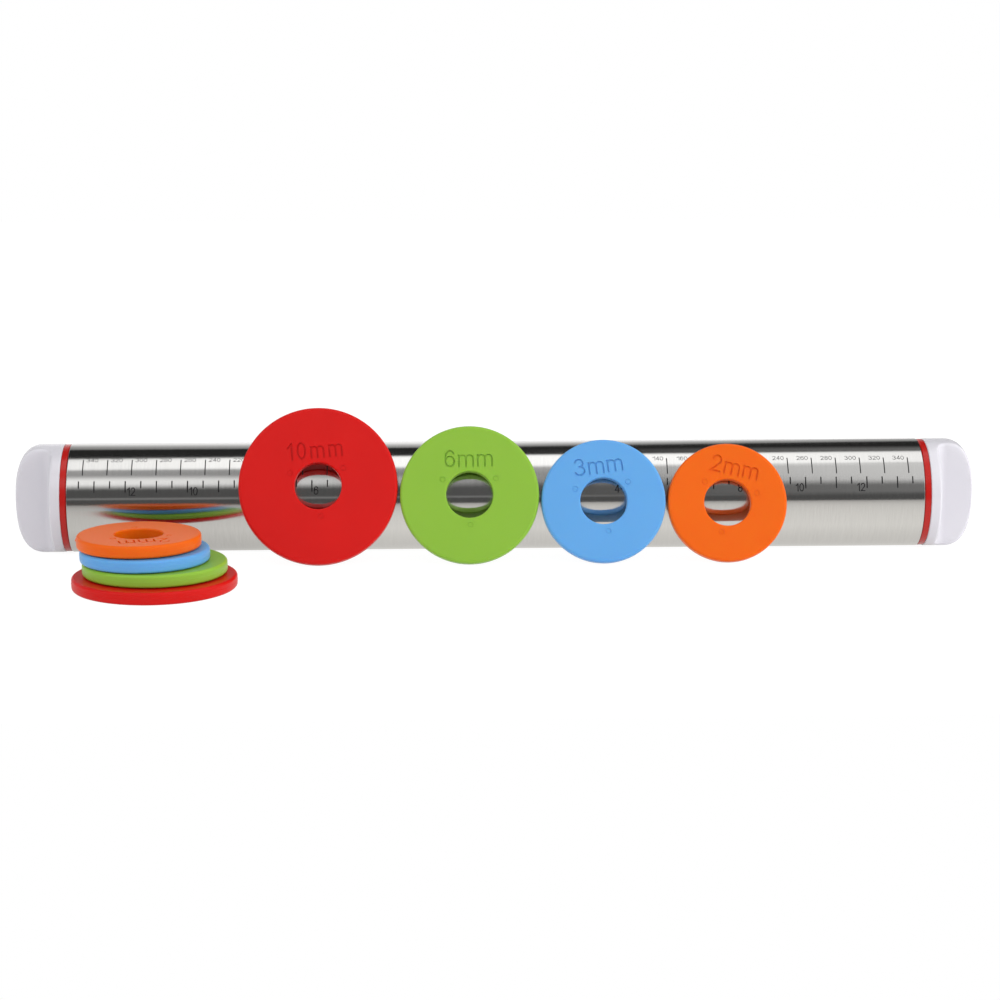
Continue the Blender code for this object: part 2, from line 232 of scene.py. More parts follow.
def rounded(
    corners: list[tuple[float, float]], radii: list[float], steps: int = 5, rest: float = 0.12
) -> np.ndarray:
    """Round the corners of an outline, with a support point on the straights beside each arc.

    With unit directions a and b from corner p to its neighbours, the arc of radius R has its centre at
    p + (a + b) R / |a x b| and touches the sides R / tan(half the corner's angle) from p. The points between
    turn evenly from one touching point to the other.

    Args:
        corners: the outline's corners, in order round a loop.
        radii: the radius at each corner, or 0 for a sharp one.
        steps: steps along each arc.
        rest: how far past the arc a support point lies, as a share of its radius.

    Returns:
        Rows of points.
    """
    p = np.array(corners, float)
    radius = np.array(radii, float)[:, None]
    a, b = np.roll(p, 1, axis=0) - p, np.roll(p, -1, axis=0) - p
    a, b = a / np.linalg.norm(a, axis=1, keepdims=True), b / np.linalg.norm(b, axis=1, keepdims=True)
    cross = np.abs(a[:, :1] * b[:, 1:] - a[:, 1:] * b[:, :1])
    cross = np.where(radius > 0, cross, 1.0)
    dot = (a * b).sum(axis=1, keepdims=True)
    touch = radius * (1 + dot) / cross
    centre = p + (a + b) * radius / cross
    start, end = p + a * touch - centre, p + b * touch - centre
    sweep = np.where(radius > 0, np.pi - np.arccos(np.clip(dot, -1, 1)), 1.0)[:, None]
    t = np.linspace(0, 1, steps + 1)[None, :, None]
    between = np.sin((1 - t) * sweep) * start[:, None] + np.sin(t * sweep) * end[:, None]
    bend = centre[:, None] + between / np.sin(sweep)
    before, after = p + a * (touch + rest * radius), p + b * (touch + rest * radius)
    points = np.concatenate([before[:, None], bend, after[:, None]], axis=1)
    sharp = (radius <= 0)[:, :, None]
    points = np.where(sharp, p[:, None], points).reshape(-1, 2)
    keep = np.linalg.norm(points - np.roll(points, 1, axis=0), axis=1) > MERGE_DISTANCE
    return points[keep]


def put_in_scene(name: str, data: bpy.types.ID) -> bpy.types.Object:
    """Put a mesh, a lamp or a camera into the scene.

    Args:
        name: the object's name.
        data: what it shows.

    Returns:
        The new object, at the origin.
    """
    item = bpy.data.objects.new(name, data)
    bpy.context.scene.collection.objects.link(item)
    return item


def make_object(name: str, shell: Shell, sharp_angle: float = SHARP_ANGLE) -> bpy.types.Object:
    """Put a shell into a mesh object, with its seams merged and its faces turned outwards.

    Args:
        name: the piece's name.
        shell: its points and faces.
        sharp_angle: edges that bend by more than this many degrees stay sharp.

    Returns:
        The new object, at the origin.
    """
    mesh = bpy.data.meshes.new(name)
    mesh.from_pydata(shell.points, [], shell.faces)
    if shell.uv is not None:
        layer = mesh.uv_layers.new(name="along_and_around")
        layer.data.foreach_set("uv", shell.uv.astype(np.float32).ravel())
    form = bmesh.new()
    form.from_mesh(mesh)
    bmesh.ops.remove_doubles(form, verts=form.verts, dist=MERGE_DISTANCE)
    bmesh.ops.recalc_face_normals(form, faces=form.faces)
    form.to_mesh(mesh)
    form.free()
    mesh.shade_smooth()
    mesh.set_sharp_from_angle(angle=math.radians(sharp_angle))
    return put_in_scene(name, mesh)


def solved(item: bpy.types.Object, tool: bpy.types.Object | None) -> None:
    """Apply the exact boolean solver to a piece and keep only the result.

    Args:
        item: the piece.
        tool: the solid to subtract, or None to unite the piece's own overlapping parts.
    """
    boolean = item.modifiers.new("solve", "BOOLEAN")
    boolean.solver = "EXACT"
    if tool is None:
        boolean.operation = "UNION"
        boolean.operand_type = "COLLECTION"
        boolean.use_self = True
    else:
        boolean.operation = "DIFFERENCE"
        boolean.object = tool
    evaluated = item.evaluated_get(bpy.context.evaluated_depsgraph_get())
    mesh = bpy.data.meshes.new_from_object(evaluated)
    item.modifiers.clear()
    item.data = mesh


def cut(item: bpy.types.Object, cutter: Shell) -> None:
    """Subtract a shell from a piece.

    Args:
        item: the piece.
        cutter: the shell, closed.
    """
    tool = make_object(item.name + "_cutter", cutter)
    solved(item, tool)
    bpy.data.objects.remove(tool)
    item.data.set_sharp_from_angle(angle=math.radians(SHARP_ANGLE))


def thickened(flat: Shell, low: float, high: float) -> Shell:
    """Give a flat shape two faces, at z = low and z = high, and walls between its outlines.

    Args:
        flat: quads in the plane z = 0.
        low: the height of the lower face.
        high: the height of the upper face.

    Returns:
        A closed shell for each separate part of the shape.
    """
    count = len(flat.points)
    both = np.concatenate([flat.points, flat.points])
    both[:count, 2], both[count:, 2] = high, low
    quads = np.array(flat.faces)
    sides = np.stack([quads, np.roll(quads, -1, axis=1)], axis=-1).reshape(-1, 2)
    taken = {tuple(side) for side in sides.tolist()}
    walls = [[b, a, a + count, b + count] for a, b in taken if (b, a) not in taken]
    return Shell(both, quads.tolist() + (quads[:, ::-1] + count).tolist() + walls)


def split(solid: Shell, lines: np.ndarray) -> Shell:
    """Split a solid's faces along the lines y = constant, so that it can bend there.

    Args:
        solid: the solid.
        lines: the values of y.

    Returns:
        The same solid with more points.
    """
    mesh = bpy.data.meshes.new("to_bend")
    mesh.from_pydata(solid.points, [], solid.faces)
    form = bmesh.new()
    form.from_mesh(mesh)
    for y in lines:
        everything = [*form.verts, *form.edges, *form.faces]
        bmesh.ops.bisect_plane(
            form, geom=everything, dist=SPLIT_DISTANCE, plane_co=(0, float(y), 0), plane_no=(0, 1, 0)
        )
    form.verts.index_update()
    points = np.array([vert.co for vert in form.verts])
    faces = [[vert.index for vert in face.verts] for face in form.faces]
    form.free()
    bpy.data.meshes.remove(mesh)
    return Shell(points, faces)


def facing(place: np.ndarray, forward: np.ndarray) -> Matrix:
    """Return the frame at a place whose -Z looks along forward, level with the horizon.

    Its X is forward x up, its Y is Z x X, and its Z is -forward, all of unit length.

    Args:
        place: the frame's origin.
        forward: the direction that it looks in.

    Returns:
        The frame as a 4 x 4 matrix.
    """
    z = -forward / np.linalg.norm(forward)
    x = np.cross(-z, (0, 0, 1))
    x = x / np.linalg.norm(x)
    frame = np.eye(4)
    frame[:3, 0], frame[:3, 1], frame[:3, 2], frame[:3, 3] = x, np.cross(z, x), z, place
    return Matrix(frame.tolist())


# Lettering


def arc(
    middle: tuple[float, float], radii: tuple[float, float], start: float, end: float, steps: int
) -> np.ndarray:
    """Return points middle + (rx cos a, ry sin a) on an ellipse, for a from start to end in degrees."""
    angle = np.radians(np.linspace(start, end, steps + 1))
    return np.array(middle) + np.array(radii) * np.column_stack([np.cos(angle), np.sin(angle)])


def ribbon(line: np.ndarray, width: float) -> Shell:
    """Give a line a width, with mitred bends and square ends that reach half the width further.

    With unit normals m and n of the two segments at a point, the edges lie at +-(m + n) / (1 + m . n) times
    half the width from it.

    Args:
        line: the centre line's points; it is a loop if the last equals the first.
        width: the stroke's width.

    Returns:
        A flat strip of quads.
    """
    loop = bool(np.allclose(line[0], line[-1]))
    along = np.diff(line, axis=0)
    along = along / np.linalg.norm(along, axis=1, keepdims=True)
    before = np.concatenate([along[-1:] if loop else along[:1], along])
    after = np.concatenate([along, along[:1] if loop else along[-1:]])
    share = width / 2 / (1 + (before * after).sum(axis=1, keepdims=True))
    normal = (before + after)[:, ::-1] * np.array([-1, 1]) * share
    middle = line.copy()
    if not loop:
        middle[0] -= along[0] * width / 2
        middle[-1] += along[-1] * width / 2
    count = len(line) - 1 if loop else len(line)
    points = np.concatenate([middle[:count] + normal[:count], middle[:count] - normal[:count]])
    first = np.arange(len(line) - 1)
    second = (first + 1) % count
    faces = np.stack([first, first + count, second + count, second], axis=-1)
    return Shell(np.column_stack([points, np.zeros(len(points))]), faces.tolist())


@dataclass(frozen=True)
class Lettering:
    """Plain upright sans-serif letters drawn with a pen of one width: numerals and the unit m.

    Each glyph's centre lines are given in a box of 1 x 1, which is fitted so that the digits' outer height is
    the height asked for. All sizes are shares of that height.
    """

    stroke: float = 0.1
    stretch: float = 1.0
    gap: float = 0.16
    digit_width: float = 0.6
    one_width: float = 0.36
    unit_width: float = 0.92
    x_height: float = 0.7
    steps: int = 12

    def glyph(self, letter: str) -> tuple[float, list[np.ndarray]]:
        """Draw one letter in its box: round parts are arcs of ellipses, straight ones lines.

        Args:
            letter: the letter.

        Returns:
            Its width, and the centre lines of its strokes.
        """
        n, x = self.steps, self.x_height
        strokes = {
            "0": [arc((0.5, 0.5), (0.5, 0.5), 0, 360, 3 * n)],
            "1": [np.array([(1, 1), (1, 0)]), np.array([(0.04, 0.75), (0.96, 0.98)])],
            "2": [
                np.concatenate([arc((0.5, 0.72), (0.46, 0.28), 165, -36, 2 * n), [(0, 0), (1, 0)]]),
            ],
            "3": [
                arc((0.44, 0.76), (0.46, 0.24), 155, -90, 2 * n),
                arc((0.44, 0.265), (0.54, 0.265), 90, -160, 2 * n),
            ],
            "4": [np.array([(0.76, 0), (0.76, 1), (0, 0.27), (1, 0.27)])],
            "6": [
                arc((0.5, 0.32), (0.5, 0.32), 180, 540, 3 * n),
                np.concatenate([arc((0.52, 0.6), (0.5, 0.4), 32, 172, 2 * n), [(0, 0.32)]]),
            ],
            "8": [
                arc((0.5, 0.76), (0.43, 0.24), 0, 360, 3 * n),
                arc((0.5, 0.27), (0.5, 0.27), 0, 360, 3 * n),
            ],
            "m": [
                np.array([(0, x), (0, 0)]),
                np.concatenate([arc((0.25, x - 0.22), (0.25, 0.22), 180, 0, n), [(0.5, 0)]]),
                np.concatenate([arc((0.75, x - 0.22), (0.25, 0.22), 180, 0, n), [(1, 0)]]),
            ],
        }[letter]
        widths = {"1": self.one_width, "m": self.unit_width}
        return widths.get(letter, self.digit_width) * self.stretch, strokes

    def words(self, words: str, height: float, low: float, high: float) -> Shell:
        """Lay solid letters out along X, centred on the origin.

        Args:
            words: the letters.
            height: the outer height of a digit, in metres.
            low: the height of the lower faces.
            high: the height of the upper faces.

        Returns:
            The letters, each a closed shell.
        """
        shapes, start = [], 0.0
        for letter in words:
            width, solid = letter_solid(self, letter)
            shapes.append(Shell(solid.points + np.array([start, 0, 0]), solid.faces))
            start += width + self.gap
        shell = joined(shapes)
        scale = np.array([height, height, high - low])
        centre = np.array([(start - self.gap) / 2, 0, 0])
        return Shell((shell.points - centre) * scale + (0, 0, low), shell.faces)


@cache
def letter_solid(letters: Lettering, letter: str) -> tuple[float, Shell]:
    """Make one letter as a clean solid of height 1, from z = 0 to z = 1.

    A point (u, v) of the glyph's box goes to x = s / 2 + u (w - s) and y = (v - 1 / 2) (1 - s), with w the
    glyph's width and s the stroke.

    Args:
        letters: the lettering.
        letter: the letter.

    Returns:
        The letter's width, and its solid with overlapping strokes united.
    """
    pen = letters.stroke
    width, strokes = letters.glyph(letter)
    fitted = [(line - (0, 0.5)) * (width - pen, 1 - pen) + (pen / 2, 0) for line in strokes]
    solid = thickened(joined([ribbon(line, pen) for line in fitted]), 0.0, 1.0)
    if len(strokes) == 1:
        return width, solid
    item = make_object("crossing_strokes", solid)
    solved(item, None)
    points = np.array([vert.co for vert in item.data.vertices])
    faces = [list(polygon.vertices) for polygon in item.data.polygons]
    bpy.data.objects.remove(item)
    return width, Shell(points, faces)


# Finishes


@dataclass(frozen=True)
class Finish:
    """A finish: the material's name, and what it gives the Principled shader."""

    name: str

    def shader_inputs(self, tree: bpy.types.NodeTree, place: bpy.types.NodeSocket) -> dict:
        """Return the shader's inputs, with the patterns that feed them. Each finish has its own."""
        raise NotImplementedError

    def material(self) -> bpy.types.Material:
        """Build the material, with its patterns on the piece's own coordinates.

        Returns:
            The material.
        """
        material = bpy.data.materials.new(self.name)
        material.use_nodes = True
        tree = material.node_tree
        place = add_node(tree, "ShaderNodeTexCoord").outputs["Object"]
        fill(tree, tree.nodes["Principled BSDF"], self.shader_inputs(tree, place))
        return material


@dataclass(frozen=True)
class MouldedPlastic(Finish):
    """Injection-moulded thermoplastic, ABS or polypropylene.

    To the eye: an even, slightly waxy skin that keeps the mould's polish, one colour that drifts slowly where
    the melt flowed, and edges that glow a little, because some light goes in and comes out beside them.
    A polished mould gives a roughness of 0.2 and an eroded one 0.4 to 0.5. The IOR of both plastics is 1.5.
    """

    colour: str
    deep_colour: str
    roughness: float
    roughness_spread: float = 0.05
    flow_size: float = 18 * MM
    # The mould's own texture is about 0.05 mm, too fine to show, and is drawn ten times as coarse.
    grain_size: float = 0.5 * MM
    grain_depth: float = 0.004 * MM
    refraction: float = 1.5
    glow: float = 0.0
    glow_reach: float = 2.5 * MM

    def shader_inputs(self, tree: bpy.types.NodeTree, place: bpy.types.NodeSocket) -> dict:
        """Mix the two tones by slow noise, and let fine noise shift the roughness and raise a faint grain.

        Args:
            tree: the material's node tree.
            place: the point on the piece.

        Returns:
            The shader's inputs.
        """
        flow_inputs = {"Vector": place, "Scale": 1 / self.flow_size, "Detail": 2.0, "Roughness": 0.45}
        flow = add_node(tree, "ShaderNodeTexNoise", flow_inputs).outputs["Fac"]
        tones = {"Factor": flow, "A": linear(self.deep_colour), "B": linear(self.colour)}
        grain_inputs = {"Vector": place, "Scale": 1 / self.grain_size, "Detail": 3.0, "Roughness": 0.6}
        grain = add_node(tree, "ShaderNodeTexNoise", grain_inputs).outputs["Fac"]
        sheen = {
            "Value": grain,
            "From Min": 0.25,
            "From Max": 0.75,
            "To Min": self.roughness - self.roughness_spread,
            "To Max": self.roughness + self.roughness_spread,
        }
        skin = {"Height": grain, "Distance": self.grain_depth, "Strength": 1.0}
        return {
            "Base Color": add_node(tree, "ShaderNodeMix", tones, data_type="RGBA").outputs["Result"],
            "Roughness": add_node(tree, "ShaderNodeMapRange", sheen).outputs["Result"],
            "Normal": add_node(tree, "ShaderNodeBump", skin).outputs["Normal"],
            "IOR": self.refraction,
            "Subsurface Weight": self.glow,
            "Subsurface Scale": self.glow_reach,
            "Subsurface Radius": linear(self.colour)[:3],
        }


@dataclass(frozen=True)
class BrushedSteel(Finish):
    """Stainless steel tube, brushed round with an abrasive belt.

    To the eye: fine scratches run round the barrel, so reflections stay crisp from top to bottom and smear
    along it, and the metal has a slight grey-yellow cast. Fine brushing gives a roughness of 0.1 to 0.2, and
    the metal keeps the default IOR.
    """

    name: str = "stainless_steel_brushed"
    colour: str = "#cbcac8"
    roughness: float = 0.148
    roughness_spread: float = 0.012
    anisotropy: float = 0.8
    # Real scratches are about 0.03 mm wide. They are drawn at 0.45 mm, as coarse as they need to show.
    scratch_width: float = 0.45 * MM
    scratch_length: float = 9.0 * MM
    tilt: float = 0.011
    dark_level: float = 0.9
    bright_level: float = 1.06

    def shader_inputs(self, tree: bpy.types.NodeTree, place: bpy.types.NodeSocket) -> dict:
        """Let noise, stretched round the barrel, tip the normal that way and shift roughness and tone.

        The normal n becomes n + s (n x t), made unit length, with t the way along the barrel and s from
        -tilt to tilt.

        Args:
            tree: the material's node tree.
            place: the point on the piece.

        Returns:
            The shader's inputs.
        """
        scale = (1 / self.scratch_width, 1 / self.scratch_length, 1 / self.scratch_length)
        stretch = add_node(tree, "ShaderNodeMapping", {"Vector": place, "Scale": scale}).outputs[0]
        noise = {"Vector": stretch, "Scale": 1.0, "Detail": 3.0, "Roughness": 0.65}
        scratches = add_node(tree, "ShaderNodeTexNoise", noise).outputs["Fac"]
        along = add_node(tree, "ShaderNodeTangent", direction_type="UV_MAP", uv_map="along_and_around")
        normal = add_node(tree, "ShaderNodeNewGeometry").outputs["Normal"]
        crossed = {0: normal, 1: along.outputs[0]}
        around = add_node(tree, "ShaderNodeVectorMath", crossed, operation="CROSS_PRODUCT").outputs[0]
        tipping = {
            "Value": scratches,
            "From Min": 0.0,
            "From Max": 1.0,
            "To Min": -self.tilt,
            "To Max": self.tilt,
        }
        amount = add_node(tree, "ShaderNodeMapRange", tipping, clamp=False).outputs["Result"]
        scaled = {0: around, "Scale": amount}
        push = add_node(tree, "ShaderNodeVectorMath", scaled, operation="SCALE").outputs[0]
        tipped = add_node(tree, "ShaderNodeVectorMath", {0: normal, 1: push}, operation="ADD").outputs[0]
        sheen = {
            "Value": scratches,
            "From Min": 0.3,
            "From Max": 0.7,
            "To Min": self.roughness - self.roughness_spread,
            "To Max": self.roughness + self.roughness_spread,
        }
        dark, bright = linear(self.colour, self.dark_level), linear(self.colour, self.bright_level)
        tones = {"Factor": scratches, "A": dark, "B": bright}
        return {
            "Base Color": add_node(tree, "ShaderNodeMix", tones, data_type="RGBA").outputs["Result"],
            "Roughness": add_node(tree, "ShaderNodeMapRange", sheen).outputs["Result"],
            "Normal": add_node(tree, "ShaderNodeVectorMath", {0: tipped}, operation="NORMALIZE").outputs[0],
            "Tangent": along.outputs[0],
            "Metallic": 1.0,
            "Anisotropic": self.anisotropy,
        }


@dataclass(frozen=True)
class EtchedOxide(Finish):
    """Black oxide in scale marks that are etched into the steel.

    To the eye: matt, nearly black lines that are slightly uneven where the etching is thin. A matt oxide has
    a roughness of about 0.7. Its IOR is set low, because a glint would grey the small numbers.
    """

    name: str = "black_oxide_etched"
    colour: str = "#18181a"
    worn_colour: str = "#3a3a3a"
    roughness: float = 0.7
    refraction: float = 1.25
    wear_size: float = 0.9 * MM

    def shader_inputs(self, tree: bpy.types.NodeTree, place: bpy.types.NodeSocket) -> dict:
        """Let noise thin the oxide to the lighter tone in places.

        Args:
            tree: the material's node tree.
            place: the point on the piece.

        Returns:
            The shader's inputs.
        """
        noise = {"Vector": place, "Scale": 1 / self.wear_size, "Detail": 2.0}
        wear = add_node(tree, "ShaderNodeTexNoise", noise).outputs["Fac"]
        thin = {"Value": wear, "From Min": 0.45, "From Max": 0.75}
        share = add_node(tree, "ShaderNodeMapRange", thin).outputs["Result"]
        tones = {"Factor": share, "A": linear(self.colour), "B": linear(self.worn_colour)}
        return {
            "Base Color": add_node(tree, "ShaderNodeMix", tones, data_type="RGBA").outputs["Result"],
            "Roughness": self.roughness,
            "IOR": self.refraction,
        }


@dataclass(frozen=True)
class ZincSteel(Finish):
    """Screw steel, bright zinc plated.

    To the eye: a pale, slightly blue metal whose shine is mottled by handling. Such plating has a roughness
    of about 0.3, and the metal keeps the default IOR.
    """

    name: str = "steel_zinc_plated"
    colour: str = "#bfc1c2"
    dull_colour: str = "#9a9c9b"
    roughness: float = 0.32
    mottle_size: float = 1.2 * MM

    def shader_inputs(self, tree: bpy.types.NodeTree, place: bpy.types.NodeSocket) -> dict:
        """Let noise move the metal between the bright and the dull tone.

        Args:
            tree: the material's node tree.
            place: the point on the piece.

        Returns:
            The shader's inputs.
        """
        noise = {"Vector": place, "Scale": 1 / self.mottle_size, "Detail": 3.0}
        mottle = add_node(tree, "ShaderNodeTexNoise", noise).outputs["Fac"]
        tones = {"Factor": mottle, "A": linear(self.dull_colour), "B": linear(self.colour)}
        return {
            "Base Color": add_node(tree, "ShaderNodeMix", tones, data_type="RGBA").outputs["Result"],
            "Metallic": 1.0,
            "Roughness": self.roughness,
        }


@cache
def shared_material(finish: Finish) -> bpy.types.Material:
    """Build a finish's material once, for all the pieces that share it."""
    return finish.material()


def dress(
    item: bpy.types.Object, body: str, finish: Finish, nodes: tuple[str, ...] = ()
) -> None:
    """Give a piece its material, the body it rides on and the nodes that it stands for.

    Args:
        item: the piece.
        body: the body.
        finish: the finish.
        nodes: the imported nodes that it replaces.
    """
    item.data.materials.clear()
    item.data.materials.append(shared_material(finish))
    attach(item, body)
    if nodes:
        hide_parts(*nodes)
    LOG.info("%s: %d faces on %s", item.name, len(item.data.polygons), body)


# The plastics of this object. The glow is that of thick white or dyed plastic under soft light. Where the IOR
# is under 1.5, the plastic's gloss would otherwise veil its colour in a room that is white all round.
KNOB_WHITE = MouldedPlastic("abs_moulded_white", "#dad8de", "#d5d3da", 0.2, glow=0.25)
PLUG_GREY = MouldedPlastic("polypropylene_moulded_grey", "#aeaeb0", "#a4a4a6", 0.5, grain_depth=0.01 * MM)
COLLAR_RED = MouldedPlastic("abs_moulded_red", "#b91610", "#b1140f", 0.2, refraction=1.41)
RING_RED = MouldedPlastic(
    "polypropylene_moulded_red", "#d5110d", "#cb0f0c", 0.36, refraction=1.3, glow=0.3
)
RING_GREEN = MouldedPlastic(
    "polypropylene_moulded_green", "#8ebc3e", "#89b73a", 0.36, refraction=1.35, glow=0.3
)
RING_BLUE = MouldedPlastic(
    "polypropylene_moulded_blue", "#64a7e2", "#60a3de", 0.36, refraction=1.35, glow=0.3
)
RING_ORANGE = MouldedPlastic(
    "polypropylene_moulded_orange", "#ec6705", "#e46206", 0.36, refraction=1.3, glow=0.3
)


# Places along the barrel


class Side(Enum):
    """The two ends of the barrel, and the way that each faces along X."""

    LEFT = -1
    RIGHT = 1

    @property
    def word(self) -> str:
        """The side's name in the nodes and bodies."""
        return self.name.lower()


@dataclass(frozen=True)
class PinFrame:
    """Where the barrel lies: its axis, half length and radius."""

    axis_y: float
    axis_z: float
    half_length: float
    radius: float

    @classmethod
    def read(cls) -> PinFrame:
        """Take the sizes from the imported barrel."""
        low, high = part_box("barrel_tube")
        return cls((low.y + high.y) / 2, (low.z + high.z) / 2, (high.x - low.x) / 2, (high.z - low.z) / 2)

    def along(self) -> Matrix:
        """Return the frame whose Z runs along the barrel to the right, from its middle."""
        return Matrix.Translation((0, self.axis_y, self.axis_z)) @ Matrix.Rotation(math.pi / 2, 4, "Y")

    def end(self, side: Side) -> Matrix:
        """Return the frame at one end of the barrel, whose Z points outwards."""
        middle = Matrix.Translation((side.value * self.half_length, self.axis_y, self.axis_z))
        return middle @ Matrix.Rotation(side.value * math.pi / 2, 4, "Y")


# Pieces


@dataclass(frozen=True)
class Barrel:
    """The steel tube."""

    frame: PinFrame
    wall: float = 1.0 * MM
    edge: float = 0.3 * MM
    segments: int = 256

    def build(self) -> None:
        """Turn the tube finely and dress it in brushed steel."""
        half, outside, inside = self.frame.half_length, self.frame.radius, self.frame.radius - self.wall
        corners = [(inside, -half), (outside, -half), (outside, half), (inside, half)]
        profile = rounded(corners, [self.edge / 2, self.edge, self.edge, self.edge / 2])
        tube = make_object("barrel_steel", turned(profile, self.segments).placed(self.frame.along()))
        dress(tube, "barrel", BrushedSteel(), ("barrel_tube",))


@dataclass(frozen=True)
class Scale:
    """How one of the two scales is drawn: its lines and numbers.

    The places round the barrel are angles above the front, in radians. The drift, in radians per metre, is
    how far the etching strays from the barrel's axis.
    """

    letters: Lettering
    top: float
    low: float
    line: float
    digit: float
    label_at: float
    gap: float
    drift: float


@dataclass(frozen=True)
class ScaleMarks:
    """The two scales, which give the width of the dough: a mark lies half its value from the middle.

    They are drawn flat, x along the barrel and y round it, and then wrapped.
    """

    frame: PinFrame
    metric: Scale = Scale(
        letters=Lettering(stroke=0.097, stretch=1.12, gap=0.13, one_width=0.5),
        top=0.915,
        low=0.579,
        line=0.42 * MM,
        digit=2.05 * MM,
        label_at=0.91,
        gap=1.4 * MM,
        drift=0.19,
    )
    metric_first: int = 100
    metric_last: int = 340
    metric_step: int = 20
    inches: Scale = Scale(
        letters=Lettering(stroke=0.115, stretch=0.93, gap=0.1),
        top=0.49,
        low=0.275,
        line=0.5 * MM,
        digit=3.45 * MM,
        label_at=0.295,
        gap=0.75 * MM,
        drift=0.02,
    )
    inch: float = 25.4 * MM
    inch_first: int = 4
    inch_last: float = 13.5
    half_inch_low: float = 0.355
    height: float = 0.02 * MM
    depth: float = 0.05 * MM
    bend_step: float = 0.5 * MM

    def tick(self, scale: Scale, x: float, low: float) -> Shell:
        """Draw an upright line from an angle above the front up to the scale's top.

        Args:
            scale: the scale.
            x: where the line is.
            low: the angle of its foot.

        Returns:
            The solid line, laid flat.
        """
        left, right = x - scale.line / 2, x + scale.line / 2
        foot, head = low * self.frame.radius, scale.top * self.frame.radius
        points = np.array([(left, foot, 0), (right, foot, 0), (right, head, 0), (left, head, 0)])
        return thickened(Shell(points, [[0, 1, 2, 3]]), -self.depth, self.height)

    def label(self, scale: Scale, value: int, x: float) -> Shell:
        """Draw a number beside its mark, on the side of the barrel's middle.

        Args:
            scale: the scale.
            value: the number.
            x: where the mark is.

        Returns:
            The solid digits, laid flat.
        """
        shape = scale.letters.words(str(value), scale.digit, -self.depth, self.height)
        inwards = -math.copysign(1.0, x)
        reach = shape.points[:, 0].max() + scale.gap
        place = np.array([x + inwards * reach, scale.label_at * self.frame.radius, 0])
        return Shell(shape.points + place, shape.faces)

    def millimetre_marks(self) -> Shell:
        """Draw the millimetre scale: a line every 20 mm of dough, each with its number.

        Returns:
            The scale, laid flat.
        """
        shapes = []
        for value in range(self.metric_first, self.metric_last + 1, self.metric_step):
            for x in (-value / 2 * MM, value / 2 * MM):
                shapes.append(self.tick(self.metric, x, self.metric.low))
                shapes.append(self.label(self.metric, value, x))
        return joined(shapes)

    def inch_marks(self) -> Shell:
        """Draw the inch scale: long lines on whole inches of dough, short ones on halves, even numbers named.

        A mark of h half inches lies h / 4 inches from the middle.

        Returns:
            The scale, laid flat.
        """
        shapes = []
        for halves in range(2 * self.inch_first, round(2 * self.inch_last) + 1):
            low = self.half_inch_low if halves % 2 else self.inches.low
            for x in (-halves / 4 * self.inch, halves / 4 * self.inch):
                shapes.append(self.tick(self.inches, x, low))
                if halves % 4 == 0:
                    shapes.append(self.label(self.inches, halves // 2, x))
        return joined(shapes)

    def wrapped(self, flat: Shell, drift: float) -> Shell:
        """Bend a flat drawing round the barrel.

        A point (x, y, z) goes to (x, -r cos a, r sin a), with a = y / radius - drift x and r = radius + z.

        Args:
            flat: the drawing.
            drift: how far it strays from the barrel's axis, in radians per metre.

        Returns:
            The drawing on the barrel.
        """
        y = flat.points[:, 1]
        solid = split(flat, np.arange(y.min(), y.max(), self.bend_step)[1:])
        x, y, z = solid.points.T
        angle, reach = y / self.frame.radius - drift * x, self.frame.radius + z
        points = [x, self.frame.axis_y - reach * np.cos(angle), self.frame.axis_z + reach * np.sin(angle)]
        return Shell(np.stack(points, axis=-1), solid.faces)

    def build(self) -> None:
        """Make both scales and dress them as etched marks."""
        millimetres = self.wrapped(self.millimetre_marks(), self.metric.drift)
        inches = self.wrapped(self.inch_marks(), self.inches.drift)
        for item in (make_object("scale_millimetres", millimetres), make_object("scale_inches", inches)):
            dress(item, "barrel", EtchedOxide())


@dataclass(frozen=True)
class ScrewThread:
    """The thread between knob and barrel: a trapezoid ridge that climbs one pitch a turn."""

    crest: float = 9.0 * MM
    depth: float = 1.2 * MM
    pitch: float = 3.0 * MM
    crest_width: float = 0.7 * MM
    root_width: float = 1.7 * MM
    length: float = 12.5 * MM
    first_angle: float = math.radians(4.0)
    fade: float = 0.12

    def ridge(
        self, profile: np.ndarray, rows: np.ndarray, segments: int, first: float, last: float
    ) -> np.ndarray:
        """Work out how high the ridge stands over each point of a turned profile.

        The ridge's middle climbs as z = start + pitch t, with t the turns made. At the distance d along Z
        from the nearest middle, its height is depth (root_width / 2 - d) / flank, held between 0 and the
        depth, and it fades in and out over a share of a turn at both ends.

        Args:
            profile: rows of (radius, height).
            rows: for each row, True where the thread runs.
            segments: the number of angles that the profile is turned to.
            first: the turn at which the ridge begins.
            last: the turn at which it ends.

        Returns:
            The height of the ridge in metres, as rows x segments.
        """
        angle, height = angles(segments)[None, :], profile[:, 1:]
        start = -self.length + self.root_width / 2
        flank = (self.root_width - self.crest_width) / 2
        turned_by = (angle - self.first_angle) / (2 * np.pi)
        nearest = np.round((height - start) / self.pitch - turned_by)
        turns = turned_by + nearest
        away = np.abs(height - start - self.pitch * turns)
        rise = np.clip((self.root_width / 2 - away) / flank, 0, 1)
        ends = np.clip((turns - first) / self.fade, 0, 1) * np.clip((last - turns) / self.fade, 0, 1)
        return np.where(rows[:, None], self.depth * rise * ends, 0.0)


